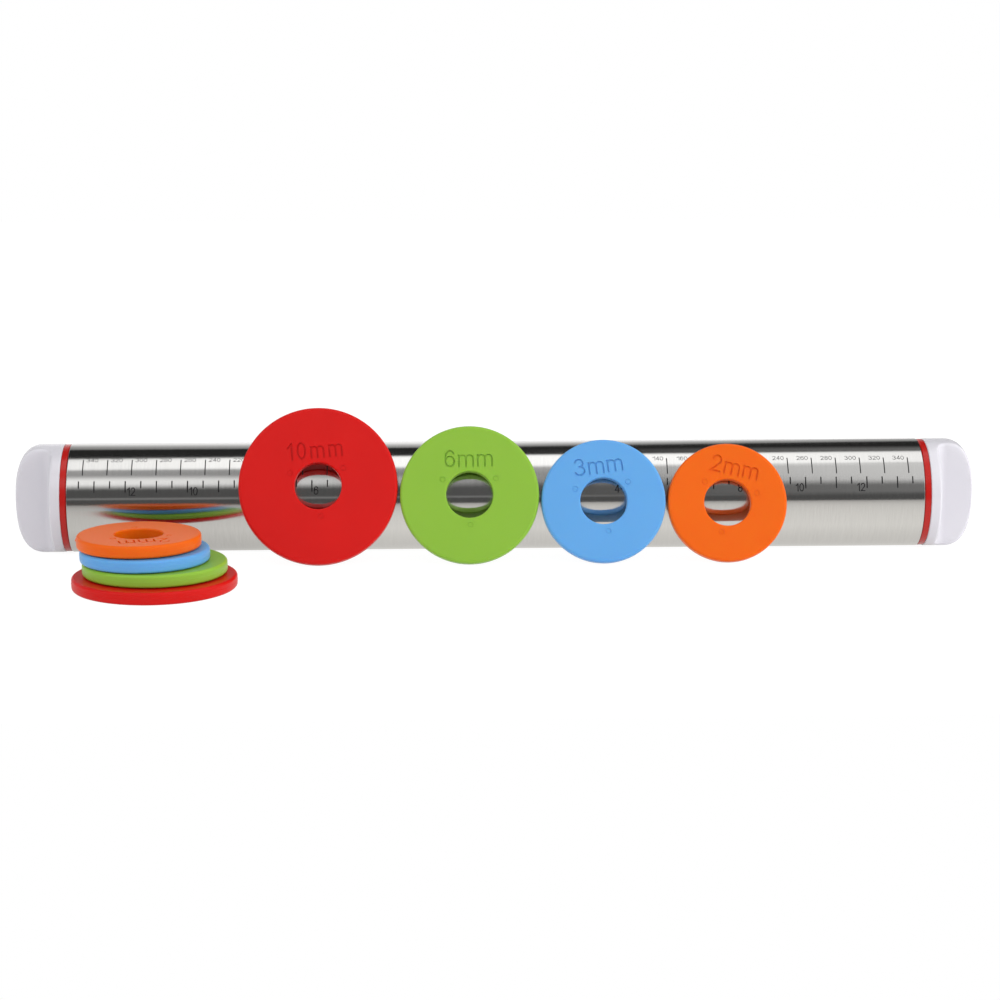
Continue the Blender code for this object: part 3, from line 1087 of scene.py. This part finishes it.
@dataclass(frozen=True)
class EndPlug:
    """The grey plug in one end of the barrel, with the female thread.

    Its thread runs through the whole boss: it begins and ends many turns away, past both of its faces.
    """

    frame: PinFrame
    side: Side
    thread: ScrewThread
    outside: float = 21.2 * MM
    gap: float = 0.3 * MM
    depth: float = 18.0 * MM
    face: float = 3.0 * MM
    wall: float = 2.2 * MM
    boss: float = 12.3 * MM
    boss_depth: float = 16.5 * MM
    rim_edge: float = 0.5 * MM
    edge: float = 0.3 * MM
    fillet: float = 0.8 * MM
    turns_away: float = 99.0
    edge_steps: int = 4
    segments: int = 120
    thread_rows: int = 150

    def build(self) -> None:
        """Turn the cup, cut the thread into its boss and dress it."""
        bore = self.thread.crest - self.thread.depth + self.gap
        top, floor, boss_end = -self.gap, -self.gap - self.face, -self.gap - self.boss_depth
        cup_end, cup_inside = top - self.depth, self.outside - self.wall
        corners = [(self.outside, top), (self.outside, cup_end), (cup_inside, cup_end), (cup_inside, floor)]
        corners += [(self.boss, floor), (self.boss, boss_end), (bore, boss_end), (bore, top)]
        radii = [self.rim_edge, self.edge, self.edge, self.fillet, self.fillet, self.edge, 0.0, 0.0]
        body = rounded(corners, radii, self.edge_steps)[:-2]
        bore_heights = np.linspace(boss_end, top, self.thread_rows)
        profile = np.concatenate([body, np.column_stack([np.full(self.thread_rows, bore), bore_heights])])
        rows = np.arange(len(profile)) >= len(body)
        ridge = self.thread.ridge(profile, rows, self.segments, -self.turns_away, self.turns_away)
        shell = turned(profile, self.segments, True, ridge).placed(self.frame.end(self.side))
        word = self.side.word
        dress(make_object("plug_" + word, shell), "barrel", PLUG_GREY, ("end_plug_" + word,))


@dataclass(frozen=True)
class Collar:
    """The thin glossy collar between barrel and knob."""

    frame: PinFrame
    side: Side
    bore: float = 9.3 * MM
    start: float = 0.03 * MM
    thickness: float = 2.74 * MM
    inset: float = 0.2 * MM
    edge: float = 0.6 * MM
    edge_steps: int = 8
    segments: int = 224

    def build(self) -> None:
        """Turn the collar, a little inside the barrel's radius, and dress it in glossy red."""
        low, high, outside = self.start, self.start + self.thickness, self.frame.radius - self.inset
        corners = [(self.bore, low), (outside, low), (outside, high), (self.bore, high)]
        radii = [self.edge / 3, self.edge, self.edge / 2, self.edge / 3]
        profile = rounded(corners, radii, self.edge_steps)
        word = self.side.word
        item = make_object("collar_" + word, turned(profile, self.segments).placed(self.frame.end(self.side)))
        dress(item, "collar_" + word, COLLAR_RED, ("end_collar_" + word,))


@dataclass(frozen=True)
class KnobGrip:
    """The white knob: a round rim that flows over fillets into a flat paddle with a domed outline."""

    frame: PinFrame
    side: Side
    start: float = 2.8 * MM
    length: float = 20.4 * MM
    rim: float = 4.4 * MM
    dome: float = 12.2 * MM
    exponent: float = 2.6
    half_paddle: float = 6.5 * MM
    fillet: float = 4.5 * MM
    edge: float = 1.0 * MM
    foot_edge: float = 0.4 * MM
    blend: float = 3.2 * MM
    # The rows across the rim run past the barrel's radius by this many blends.
    overrun: float = 1.2
    recess: float = 19.3 * MM
    recess_depth: float = 3.5 * MM
    least_step: float = 0.02 * MM
    least_sine: float = 1e-4
    least_length: float = 1e-9
    dome_rows: int = 60
    fillet_rows: int = 15
    rim_rows: int = 36
    edge_steps: int = 4
    segments: int = 288
    sharp_angle: float = 50.0

    def dome_radius(self, height: np.ndarray) -> np.ndarray:
        """Work out the outline's radius at each height: R (1 - h^e)^(1/e).

        Args:
            height: heights over the barrel's end; h is the share of the dome's height over its foot.

        Returns:
            The radii.
        """
        foot = self.start + self.length - self.dome
        share = np.clip((height - foot) / self.dome, 0, 1)
        return self.frame.radius * (1 - share**self.exponent) ** (1 / self.exponent)

    def path(self) -> tuple[np.ndarray, np.ndarray]:
        """Run a line from the pole down the paddle, over the fillet and across the rim.

        The dome's rows follow h = foot + dome cos(t)^(2/e), so that they crowd where the outline is flat.

        Returns:
            The line's heights, and the half thickness at each.
        """
        end, rim_top = self.start + self.length, self.start + self.rim
        foot, fillet_top = end - self.dome, rim_top + self.fillet
        t = np.linspace(0, np.pi / 2, self.dome_rows)
        height = foot + self.dome * np.cos(t) ** (2 / self.exponent)
        height = np.append(height[height > fillet_top + self.least_step], fillet_top)
        turn = np.linspace(0, np.pi / 2, self.fillet_rows)[1:]
        fillet_height = rim_top + self.fillet * (1 - np.sin(turn))
        fillet_half = self.half_paddle + self.fillet * (1 - np.cos(turn))
        outside = self.frame.radius + self.overrun * self.blend
        across = np.linspace(self.half_paddle + self.fillet, outside, self.rim_rows)[1:]
        heights = np.concatenate([height, fillet_height, np.full(len(across), rim_top)])
        halves = np.concatenate([np.full(len(height), self.half_paddle), fillet_half, across])
        return heights, halves

    def upper(self) -> np.ndarray:
        """Work out the paddle and the rim's face.

        At the angle a the radius is the soft minimum of the outline's radius and half / |sin a|, where the
        soft minimum of p and q is min(p, q) - max(k - |p - q|, 0)^2 / 4k. The rim's outer edge is rounded by
        lowering z by e - sqrt(e^2 - (r - R + e)^2) near the outline.

        Returns:
            Points, as rows x segments x 3.
        """
        angle = angles(self.segments)
        height, half = (values[:, None] for values in self.path())
        outline = self.dome_radius(height) + 0 * angle
        flat = half / np.maximum(np.abs(np.sin(angle)), self.least_sine)
        soft = np.minimum(self.blend, outline + self.least_length)
        radius = np.minimum(outline, flat) - np.maximum(soft - np.abs(outline - flat), 0) ** 2 / (4 * soft)
        radius = np.maximum(radius, 0)
        past = np.clip(radius - self.frame.radius + self.edge, 0, self.edge)
        drop = self.edge - np.sqrt(self.edge**2 - past**2)
        on_rim = height <= self.start + self.rim + self.least_length
        return swept(radius, height - np.where(on_rim, drop, 0), self.segments)

    def lower(self) -> np.ndarray:
        """Work out the rim's side, its foot and the recess, which are turned.

        Returns:
            Points, as rows x segments x 3.
        """
        rim_top, outside = self.start + self.rim, self.frame.radius
        low, deep = self.start, self.start + self.recess_depth
        corners = [(outside, rim_top), (outside, low), (self.recess, low), (self.recess, deep)]
        corners += [(0, deep), (0, rim_top)]
        profile = rounded(corners, [0, self.foot_edge, self.foot_edge / 2, 0, 0, 0], self.edge_steps)
        profile = profile[profile[:, 1] < rim_top - self.edge / 2]
        return swept(profile[:, :1], profile[:, 1:], self.segments)

    def build(self) -> None:
        """Make the grip, from the pole to the middle of the recess, and dress it in white plastic."""
        word = self.side.word
        grid = np.concatenate([self.upper(), self.lower()])
        shell = grid_shell(grid, False).placed(self.frame.end(self.side))
        grip = make_object("grip_" + word, shell, self.sharp_angle)
        dress(grip, "knob_" + word, KNOB_WHITE, ("knob_grip_" + word,))


@dataclass(frozen=True)
class KnobStem:
    """The base plate and threaded stem of a knob, hollow along its middle."""

    frame: PinFrame
    side: Side
    thread: ScrewThread
    plate: float = 19.0 * MM
    plate_start: float = 2.8 * MM
    plate_end: float = 6.0 * MM
    plate_edge: float = 0.3 * MM
    neck_fillet: float = 0.4 * MM
    tip: float = 1.2 * MM
    socket: float = 4.0 * MM
    socket_floor: float = 1.6 * MM
    last_turn: float = 3.2
    sink_radius: float = 3.2 * MM
    sink_depth: float = 1.95 * MM
    sink_facets: int = 40
    screw_offset: float = 13.5 * MM
    edge_steps: int = 4
    segments: int = 144
    thread_rows: int = 150

    def turned_stem(self) -> Shell:
        """Turn the plate and the stem, with the ridge of the thread on it.

        Returns:
            The shell, with its Z along the stem.
        """
        crest, root, end = self.thread.crest, self.thread.crest - self.thread.depth, -self.thread.length
        corners = [(0, self.plate_end), (self.plate, self.plate_end), (self.plate, self.plate_start)]
        corners += [(crest, self.plate_start), (crest, self.thread.depth), (root, 0), (0, 0)]
        radii = [0, self.plate_edge, self.plate_edge, self.neck_fillet, 0, 0, 0]
        head = rounded(corners, radii, self.edge_steps)[:-1]
        rows = np.column_stack([np.full(self.thread_rows, root), np.linspace(0, end, self.thread_rows)])
        tip, tip_end, floor = root - self.tip, end - self.tip, self.plate_end - self.socket_floor
        foot = np.array([(tip, tip_end), (self.socket, tip_end), (self.socket, floor), (0, floor)])
        profile = np.concatenate([head, rows[1:], foot])
        row = np.arange(len(profile))
        on_thread = (row >= len(head)) & (row < len(profile) - len(foot))
        ridge = self.thread.ridge(profile, on_thread, self.segments, 0.0, self.last_turn)
        return turned(profile, self.segments, False, ridge)

    def build(self) -> None:
        """Turn the stem, sink the screw heads into its plate and dress it."""
        word = self.side.word
        stem = make_object("stem_" + word, self.turned_stem())
        low, high = self.plate_start - OVERCUT, self.plate_start + self.sink_depth
        outline = np.array([(0, low), (self.sink_radius, low), (self.sink_radius, high), (0, high)])
        for offset in (-self.screw_offset, self.screw_offset):
            place = Matrix.Translation((offset, 0, 0))
            cut(stem, turned(outline, self.sink_facets, False).placed(place))
        stem.data.transform(self.frame.end(self.side))
        dress(stem, "knob_" + word, KNOB_WHITE, ("knob_stem_" + word,))


@dataclass(frozen=True)
class KnobScrews:
    """The two packed screws of a knob, whose shapes are right as they are."""

    side: Side
    nodes: dict[str, bpy.types.Object]

    def build(self) -> None:
        """Dress the screws in zinc."""
        for level in ("upper", "lower"):
            screw = self.nodes[f"knob_screw_{self.side.word}_{level}"]
            screw.data.materials.clear()
            screw.data.materials.append(shared_material(ZincSteel()))
            LOG.info("%s: the packed shape", screw.name)


class Resting(Enum):
    """How a ring lies: against the barrel, or flat in the stack."""

    LEANING = "leaning"
    STACKED = "stacked"


@dataclass(frozen=True)
class RingKind:
    """What the rings of one height have of their own.

    The turns are degrees from the top of a leaning ring, or from the back of a stacked one, to its name. The
    gate is how far the stub of the moulding gate stands out of the stacked ring.
    """

    height_name: str
    slot: str
    plastic: MouldedPlastic
    leaning_turn: float
    stacked_turn: float
    letters: Lettering = Lettering(gap=0.17)
    stacked_gate: float = 0.0


RING_KINDS = (
    RingKind("10mm", "ring_red", RING_RED, 5.0, 40.0, Lettering(stretch=0.88, gap=0.24)),
    RingKind("6mm", "ring_green", RING_GREEN, 1.0, 200.0),
    RingKind("3mm", "ring_blue", RING_BLUE, 7.4, 115.0),
    RingKind("2mm", "ring_orange", RING_ORANGE, -13.0, 194.0, stacked_gate=0.6 * MM),
)


@dataclass(frozen=True)
class ThicknessRing:
    """One thickness ring: a thick washer with rounded edges and its height pressed into one face."""

    kind: RingKind
    resting: Resting
    lean: float = math.radians(20.0)
    thickness: float = 5.0 * MM
    bore: float = 9.6 * MM
    edge: float = 1.15 * MM
    bore_edge: float = 0.6 * MM
    draft: float = 0.07 * MM
    parting: float = 0.05 * MM
    letter_height: float = 7.1 * MM
    letter_reach: float = 14.9 * MM
    letter_depth: float = 0.6 * MM
    pin_radius: float = 1.2 * MM
    pin_line: float = 0.35 * MM
    pin_reach: float = 12.6 * MM
    pin_depth: float = 0.22 * MM
    pin_facets: int = 32
    pin_shares: tuple[float, ...] = (1 / 6, 1 / 2, 5 / 6)
    gate_width: float = 2.2 * MM
    gate_height: float = 1.8 * MM
    # The gate moves only points further out than this many bore radii.
    gate_from: float = 1.5
    edge_steps: int = 7
    segments: int = 288
    sharp_angle: float = 40.0

    @property
    def name(self) -> str:
        """The ring's height and place, as its node's name ends."""
        return f"{self.kind.height_name}_{self.resting.value}"

    def place(self) -> tuple[Matrix, float]:
        """Find the ring.

        Returns:
            The ring's own frame, on the face that carries no name, and its radius.
        """
        low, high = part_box("ring_" + self.name)
        middle = (low + high) / 2
        turn = math.pi / 2 - self.lean if self.resting is Resting.LEANING else 0.0
        frame = Matrix.Translation(middle) @ Matrix.Rotation(turn, 4, "X")
        return frame @ Matrix.Translation((0, 0, -self.thickness / 2)), (high.x - low.x) / 2

    def body(self, radius: float) -> Shell:
        """Turn the ring: its outer wall drafts in to both faces from a fine parting line at mid-height.

        Args:
            radius: the ring's radius.

        Returns:
            The shell, with its Z through the bore.
        """
        half, side = self.thickness / 2, radius - self.parting
        corners = [(self.bore, 0), (side - self.draft, 0), (side, half - self.parting), (radius, half)]
        corners += [(side, half + self.parting), (side - self.draft, self.thickness)]
        corners += [(self.bore, self.thickness)]
        radii = [self.bore_edge, self.edge, 0, 0, 0, self.edge, self.bore_edge]
        shell = turned(rounded(corners, radii, self.edge_steps), self.segments)
        return Shell(self.with_gate(shell.points), shell.faces, shell.uv)

    def with_gate(self, points: np.ndarray) -> np.ndarray:
        """Push out the stub of the moulding gate on the left.

        The radius grows by gate cos^2(pi y / w) cos^2(pi h / t), with y the distance round the side and h the
        height from the parting line, within the stub's width w and height t.

        Args:
            points: the turned ring's points.

        Returns:
            The points with the stub, if the ring has one.
        """
        gate = self.kind.stacked_gate if self.resting is Resting.STACKED else 0.0
        x, y, z = points.T
        radius = np.hypot(x, y)
        across = np.clip(y / self.gate_width, -0.5, 0.5)
        up = np.clip((z - self.thickness / 2) / self.gate_height, -0.5, 0.5)
        on_side = (x < 0) & (radius > self.bore * self.gate_from)
        out = gate * (np.cos(np.pi * across) * np.cos(np.pi * up)) ** 2 * on_side
        scale = 1 + out / np.maximum(radius, self.bore)
        return np.stack([x * scale, y * scale, z], axis=-1)

    def pressed(self) -> Shell:
        """Make what is cut from the named face: the height's name and three marks of the ejector pins.

        Returns:
            The cutters.
        """
        leaning = self.resting is Resting.LEANING
        degrees = self.kind.leaning_turn if leaning else self.kind.stacked_turn
        turn = Matrix.Rotation(math.radians(degrees), 4, "Z")
        over, low = self.thickness + OVERCUT, self.thickness - self.letter_depth
        words = self.kind.letters.words(self.kind.height_name, self.letter_height, low, over)
        tools = [words.placed(turn @ Matrix.Translation((0, self.letter_reach, 0)))]
        low, inner = self.thickness - self.pin_depth, self.pin_radius - self.pin_line
        outline = np.array([(inner, low), (self.pin_radius, low), (self.pin_radius, over), (inner, over)])
        pin = turned(outline, self.pin_facets)
        for share in self.pin_shares:
            around = turn @ Matrix.Rotation(2 * math.pi * share, 4, "Z")
            tools.append(pin.placed(around @ Matrix.Translation((0, self.pin_reach, 0))))
        return joined(tools)

    def build(self) -> None:
        """Turn the ring, press its marks and dress it in its colour."""
        frame, radius = self.place()
        ring = make_object("spacer_" + self.name, self.body(radius), self.sharp_angle)
        cut(ring, self.pressed())
        ring.data.transform(frame)
        body = f"{self.resting.value}_{self.kind.height_name}"
        dress(ring, body, self.kind.plastic, ("ring_" + self.name,))


# Studio


@dataclass(frozen=True)
class StudioCard:
    """A glowing card or soft box of the studio, as the steel mirrors it.

    It reaches from start to end in degrees round the barrel's axis: above the horizon in front, over the
    top, to the back at 180. Along the barrel it reaches over directions whose x lies between left and right.
    Its edges are soft, and those along the barrel may slant, in degrees for each unit of x.
    """

    level: float
    start: float
    end: float
    start_soft: float
    end_soft: float
    left: float = -2.0
    right: float = 2.0
    side_soft: float = 0.02
    start_slant: float = 0.0
    end_slant: float = 0.0

    def add_to(
        self,
        tree: bpy.types.NodeTree,
        angle: bpy.types.NodeSocket,
        x: bpy.types.NodeSocket,
        total: bpy.types.NodeSocket | float,
    ) -> bpy.types.NodeSocket:
        """Add the card's light to the total: its level times its soft windows over the angle and over x.

        A window is the difference of two smooth steps from 0 to 1, one at each of its edges.

        Args:
            tree: the world's node tree.
            angle: the direction's angle round the barrel's axis, in degrees.
            x: the direction's x.
            total: the light of the cards before it.

        Returns:
            The light with this card.
        """
        slanted = [
            add_node(tree, "ShaderNodeMath", {0: x, 1: -slant, 2: angle}, operation="MULTIPLY_ADD").outputs[0]
            for slant in (self.start_slant, self.end_slant)
        ]
        edges = (
            (slanted[0], self.start, self.start_soft),
            (slanted[1], self.end, self.end_soft),
            (x, self.left, self.side_soft),
            (x, self.right, self.side_soft),
        )
        steps = []
        for value, edge, soft in edges:
            inputs = {"Value": value, "From Min": edge - soft, "From Max": edge + soft}
            step = add_node(tree, "ShaderNodeMapRange", inputs, interpolation_type="SMOOTHSTEP")
            steps.append(step.outputs[0])
        around = add_node(tree, "ShaderNodeMath", {0: steps[0], 1: steps[1]}, operation="SUBTRACT")
        along = add_node(tree, "ShaderNodeMath", {0: steps[2], 1: steps[3]}, operation="SUBTRACT")
        both = {0: around.outputs[0], 1: along.outputs[0]}
        window = add_node(tree, "ShaderNodeMath", both, operation="MULTIPLY").outputs[0]
        light = {0: window, 1: self.level, 2: total}
        return add_node(tree, "ShaderNodeMath", light, operation="MULTIPLY_ADD").outputs[0]


def shown_by_ray(
    tree: bpy.types.NodeTree,
    matt: bpy.types.Node,
    mirrored: bpy.types.Node,
    seen: bpy.types.Node,
    output: str,
) -> None:
    """Give matt surfaces, mirrors and the camera each a shader of their own.

    Args:
        tree: the node tree.
        matt: the shader that matt surfaces get light from.
        mirrored: the shader that mirrors show.
        seen: the shader that the camera sees.
        output: the type name of the output node that the result goes to.
    """
    ray = add_node(tree, "ShaderNodeLightPath")
    glossy, camera = ray.outputs["Is Glossy Ray"], ray.outputs["Is Camera Ray"]
    lit = add_node(tree, "ShaderNodeMixShader", {0: glossy, 1: matt.outputs[0], 2: mirrored.outputs[0]})
    whole = add_node(tree, "ShaderNodeMixShader", {0: camera, 1: lit.outputs[0], 2: seen.outputs[0]})
    add_node(tree, output, {"Surface": whole.outputs[0]})


class Across(Enum):
    """The way in which the table's painted light and shade change: from left to right, or from front to back.
    """

    SIDEWAYS = "X"
    BACKWARDS = "Y"


@dataclass(frozen=True)
class TableFade:
    """A change of the painted glow that mirrors show on the table, from one level to another between two
    places.
    """

    across: Across
    start: float
    end: float
    first_level: float
    last_level: float
    smooth: bool = False


@dataclass(frozen=True)
class TableTop:
    """The white table top: matt laminate. What mirrors show of it is a painted glow, paler towards the
    barrel, with painted shade under the barrel and left of the stack of rings.

    To the camera it is white but for a soft shadow. Its own light there and what it catches from the room and
    the lamps add up to white.
    """

    reach: float = 1.6
    front: float = -0.218
    drop: float = 0.02 * MM
    matt_colour: str = "#fafafa"
    mirror_colour: str = "#fffdf9"
    shown_light: float = 0.96
    shown_shadow: float = 0.12
    # Painted shade and painted light in the glow that mirrors show on the table.
    fades: tuple[TableFade, ...] = (
        # Painted shade of the barrel, under it.
        TableFade(Across.BACKWARDS, 0.012, 0.036, 1.0, 0.72),
        # Painted shadow of the stack of rings, to the left.
        TableFade(Across.SIDEWAYS, -0.14, -0.03, 0.8, 1.0, smooth=True),
        # Painted light that falls off towards the front.
        TableFade(Across.BACKWARDS, -0.16, 0.015, 0.6, 1.08),
    )

    def mirror_light(self, tree: bpy.types.NodeTree) -> bpy.types.NodeSocket:
        """Multiply the painted fades of light and shade over the table.

        Args:
            tree: the material's node tree.

        Returns:
            The table's painted glow in mirrors.
        """
        place = add_node(tree, "ShaderNodeTexCoord").outputs["Object"]
        axes = add_node(tree, "ShaderNodeSeparateXYZ", {0: place})
        light: bpy.types.NodeSocket | float = 1.0
        for fade in self.fades:
            inputs = {
                "Value": axes.outputs[fade.across.value],
                "From Min": fade.start,
                "From Max": fade.end,
                "To Min": fade.first_level,
                "To Max": fade.last_level,
            }
            blend = "SMOOTHSTEP" if fade.smooth else "LINEAR"
            level = add_node(tree, "ShaderNodeMapRange", inputs, interpolation_type=blend).outputs[0]
            light = add_node(tree, "ShaderNodeMath", {0: light, 1: level}, operation="MULTIPLY").outputs[0]
        return light

    def material(self) -> bpy.types.Material:
        """Build the material: one look for matt surfaces, a painted glow with painted shade for mirrors, and
        one for the camera.

        Returns:
            The material.
        """
        material = bpy.data.materials.new("laminate_white_matt")
        material.use_nodes = True
        tree = material.node_tree
        tree.nodes.clear()
        light = self.mirror_light(tree)
        matt = add_node(tree, "ShaderNodeBsdfDiffuse", {"Color": linear(self.matt_colour)})
        # A painted glow: what mirrors show of the table, with its painted shade and painted light.
        painted_glow = add_node(tree, "ShaderNodeEmission", {"Color": linear(self.mirror_colour), "Strength": light})
        white = add_node(tree, "ShaderNodeEmission", {"Color": WHITE, "Strength": self.shown_light})
        shadow = add_node(tree, "ShaderNodeBsdfDiffuse", {"Color": linear("#ffffff", self.shown_shadow)})
        shown = add_node(tree, "ShaderNodeAddShader", {0: white.outputs[0], 1: shadow.outputs[0]})
        shown_by_ray(tree, matt, painted_glow, shown, "ShaderNodeOutputMaterial")
        return material

    def build(self) -> None:
        """Lay the table top just under the object."""
        sides = [(-self.reach, self.front), (self.reach, self.front), (self.reach, self.reach)]
        sides += [(-self.reach, self.reach)]
        mesh = bpy.data.meshes.new("table_top")
        mesh.from_pydata(np.array([(x, y, -self.drop) for x, y in sides]), [], [[0, 1, 2, 3]])
        mesh.materials.append(self.material())
        table = put_in_scene("table_top", mesh)


@dataclass(frozen=True)
class SoftBox:
    """A rectangular lamp that faces the middle of the table.

    Its place and size are in metres and its power is in watts. Shiny surfaces show it only if it is mirrored.
    """

    name: str
    place: tuple[float, float, float]
    size: tuple[float, float]
    power: float
    mirrored: bool = False

    def build(self) -> None:
        """Hang the lamp."""
        lamp = bpy.data.lights.new(self.name, "AREA")
        lamp.shape = "RECTANGLE"
        lamp.size, lamp.size_y = self.size
        lamp.energy = self.power
        holder = put_in_scene(self.name, lamp)
        holder.matrix_world = facing(np.array(self.place), -np.array(self.place))
        holder.visible_glossy = self.mirrored


@dataclass(frozen=True)
class Studio:
    """A white table top in a dark room with soft boxes, white to the camera all round."""

    room: float = 0.02
    ambient: float = 0.81
    cards: tuple[StudioCard, ...] = (
        # The dim front of the room, with a thin pale line low in it and a lighter right end.
        StudioCard(0.08, -20, 31, 5, 5),
        StudioCard(0.2, 5.8, 9.4, 1.0, 1.2, right=0.09, side_soft=0.05),
        StudioCard(0.15, 10, 34, 4, 4, left=0.12),
        # The front soft box at the left: bright below and grey above, up to the overhead box.
        StudioCard(1.0, 33, 52.8, 8, 7.5, right=-0.03, side_soft=0.03),
        StudioCard(0.46, 33.5, 74, 8, 3, right=-0.03, side_soft=0.03),
        # The slanting grey band between the front boxes, brighter towards the right.
        StudioCard(0.46, 65.5, 75, 5.5, 3, left=-0.03, right=0.118, side_soft=0.015, start_slant=-190),
        StudioCard(0.14, 65.5, 75, 5.5, 3, left=0.07, right=0.118, side_soft=0.02, start_slant=-190),
        # The front soft box at the right, a little brighter at its far end.
        StudioCard(0.87, 33.6, 76, 7.5, 3, left=0.118, side_soft=0.02),
        StudioCard(0.12, 33.6, 76, 7.5, 3, left=0.165, side_soft=0.03),
        # The overhead box along the whole barrel, brightest over its middle.
        StudioCard(1.3, 74.5, 104.3, 3.2, 3.5, start_slant=14, end_slant=28),
        StudioCard(
            0.42, 71.5, 103.5, 3.2, 3.5, left=-0.1, right=0.165, side_soft=0.05, start_slant=8, end_slant=28
        ),
        # A faint glow behind it at the right.
        StudioCard(0.2, 112, 124, 3, 8, left=0.11, side_soft=0.03),
        # The back wall: a grey upper and a bright lower part, each with its own slant at the left and right.
        StudioCard(0.37, 135.2, 250, 4, 20, right=0.0, side_soft=0.03),
        StudioCard(0.37, 134, 250, 4, 20, left=0.0, side_soft=0.03, start_slant=105),
        StudioCard(0.8, 148.5, 250, 18, 20, right=0.02, side_soft=0.03, start_slant=-60),
        StudioCard(0.8, 145, 250, 18, 20, left=0.02, side_soft=0.03, start_slant=180),
    )
    lamps: tuple[SoftBox, ...] = (
        SoftBox("front_box", (0.2, -1.0, 0.85), (1.1, 0.7), 1.6),
        SoftBox("left_fill", (-1.0, -0.5, 0.4), (0.5, 0.6), 1.3),
        SoftBox("right_box", (0.9, -0.75, 0.3), (0.35, 0.7), 0.5, mirrored=True),
        SoftBox("right_fill", (1.05, -0.28, 0.33), (0.5, 0.6), 5.0),
    )

    def build_world(self) -> None:
        """Light the room: an even level for matt surfaces, the cards for mirrors, white for the camera.

        A direction lies at the angle atan2(z, -y) round the barrel's axis.
        """
        world = bpy.data.worlds.new("photo_studio")
        bpy.context.scene.world = world
        world.use_nodes = True
        tree = world.node_tree
        tree.nodes.clear()
        where = add_node(tree, "ShaderNodeTexCoord").outputs["Generated"]
        axes = add_node(tree, "ShaderNodeSeparateXYZ", {0: where})
        front = add_node(tree, "ShaderNodeMath", {0: axes.outputs["Y"], 1: -1.0}, operation="MULTIPLY")
        sides = {0: axes.outputs["Z"], 1: front.outputs[0]}
        raw = add_node(tree, "ShaderNodeMath", sides, operation="ARCTAN2").outputs[0]
        angle = add_node(tree, "ShaderNodeMath", {0: raw, 1: 180 / math.pi}, operation="MULTIPLY").outputs[0]
        total: bpy.types.NodeSocket | float = self.room
        for card in self.cards:
            total = card.add_to(tree, angle, axes.outputs["X"], total)
        room, mirrored, seen = (
            add_node(tree, "ShaderNodeBackground", {"Color": WHITE, "Strength": light})
            for light in (self.ambient, total, 1.0)
        )
        shown_by_ray(tree, room, mirrored, seen, "ShaderNodeOutputWorld")

    def build(self) -> None:
        """Set up the world, the table and the lamps."""
        self.build_world()
        TableTop().build()
        for lamp in self.lamps:
            lamp.build()


@dataclass(frozen=True)
class PhotoCamera:
    """The photograph's view: a long lens, a little above the barrel, turned slightly to the right."""

    place: tuple[float, float, float] = (-32.1 * MM, -1001.4 * MM, 228.5 * MM)
    yaw: float = 0.03237
    pitch: float = 0.19752
    roll: float = -0.00074
    lens: float = 91.06
    sensor: float = 36.0
    near: float = 0.05
    far: float = 20.0

    def build(self) -> None:
        """Make the camera: forward is (sin yaw cos pitch, cos yaw cos pitch, -sin pitch), then rolled."""
        level = math.cos(self.pitch)
        forward = np.array([math.sin(self.yaw) * level, math.cos(self.yaw) * level, -math.sin(self.pitch)])
        data = bpy.data.cameras.new("photo_camera")
        data.sensor_width, data.lens = self.sensor, self.lens
        data.clip_start, data.clip_end = self.near, self.far
        camera = put_in_scene("photo_camera", data)
        camera.matrix_world = facing(np.array(self.place), forward) @ Matrix.Rotation(self.roll, 4, "Z")
        bpy.context.scene.camera = camera


def main() -> None:
    """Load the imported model, dress every piece and set up the studio."""
    logging.basicConfig(level=logging.INFO, format="%(name)s: %(message)s")
    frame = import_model()
    bpy.context.scene.view_settings.view_transform = "Standard"
    pin = PinFrame.read()
    thread = ScrewThread()
    PhotoCamera().build()
    Barrel(pin).build()
    ScaleMarks(pin).build()
    for side in Side:
        EndPlug(pin, side, thread).build()
        Collar(pin, side).build()
        KnobGrip(pin, side).build()
        KnobStem(pin, side, thread).build()
        KnobScrews(side, frame["nodes"]).build()
    for kind in RING_KINDS:
        for resting in Resting:
            ThicknessRing(kind, resting).build()
    Studio().build()


if __name__ == "__main__":
    main()
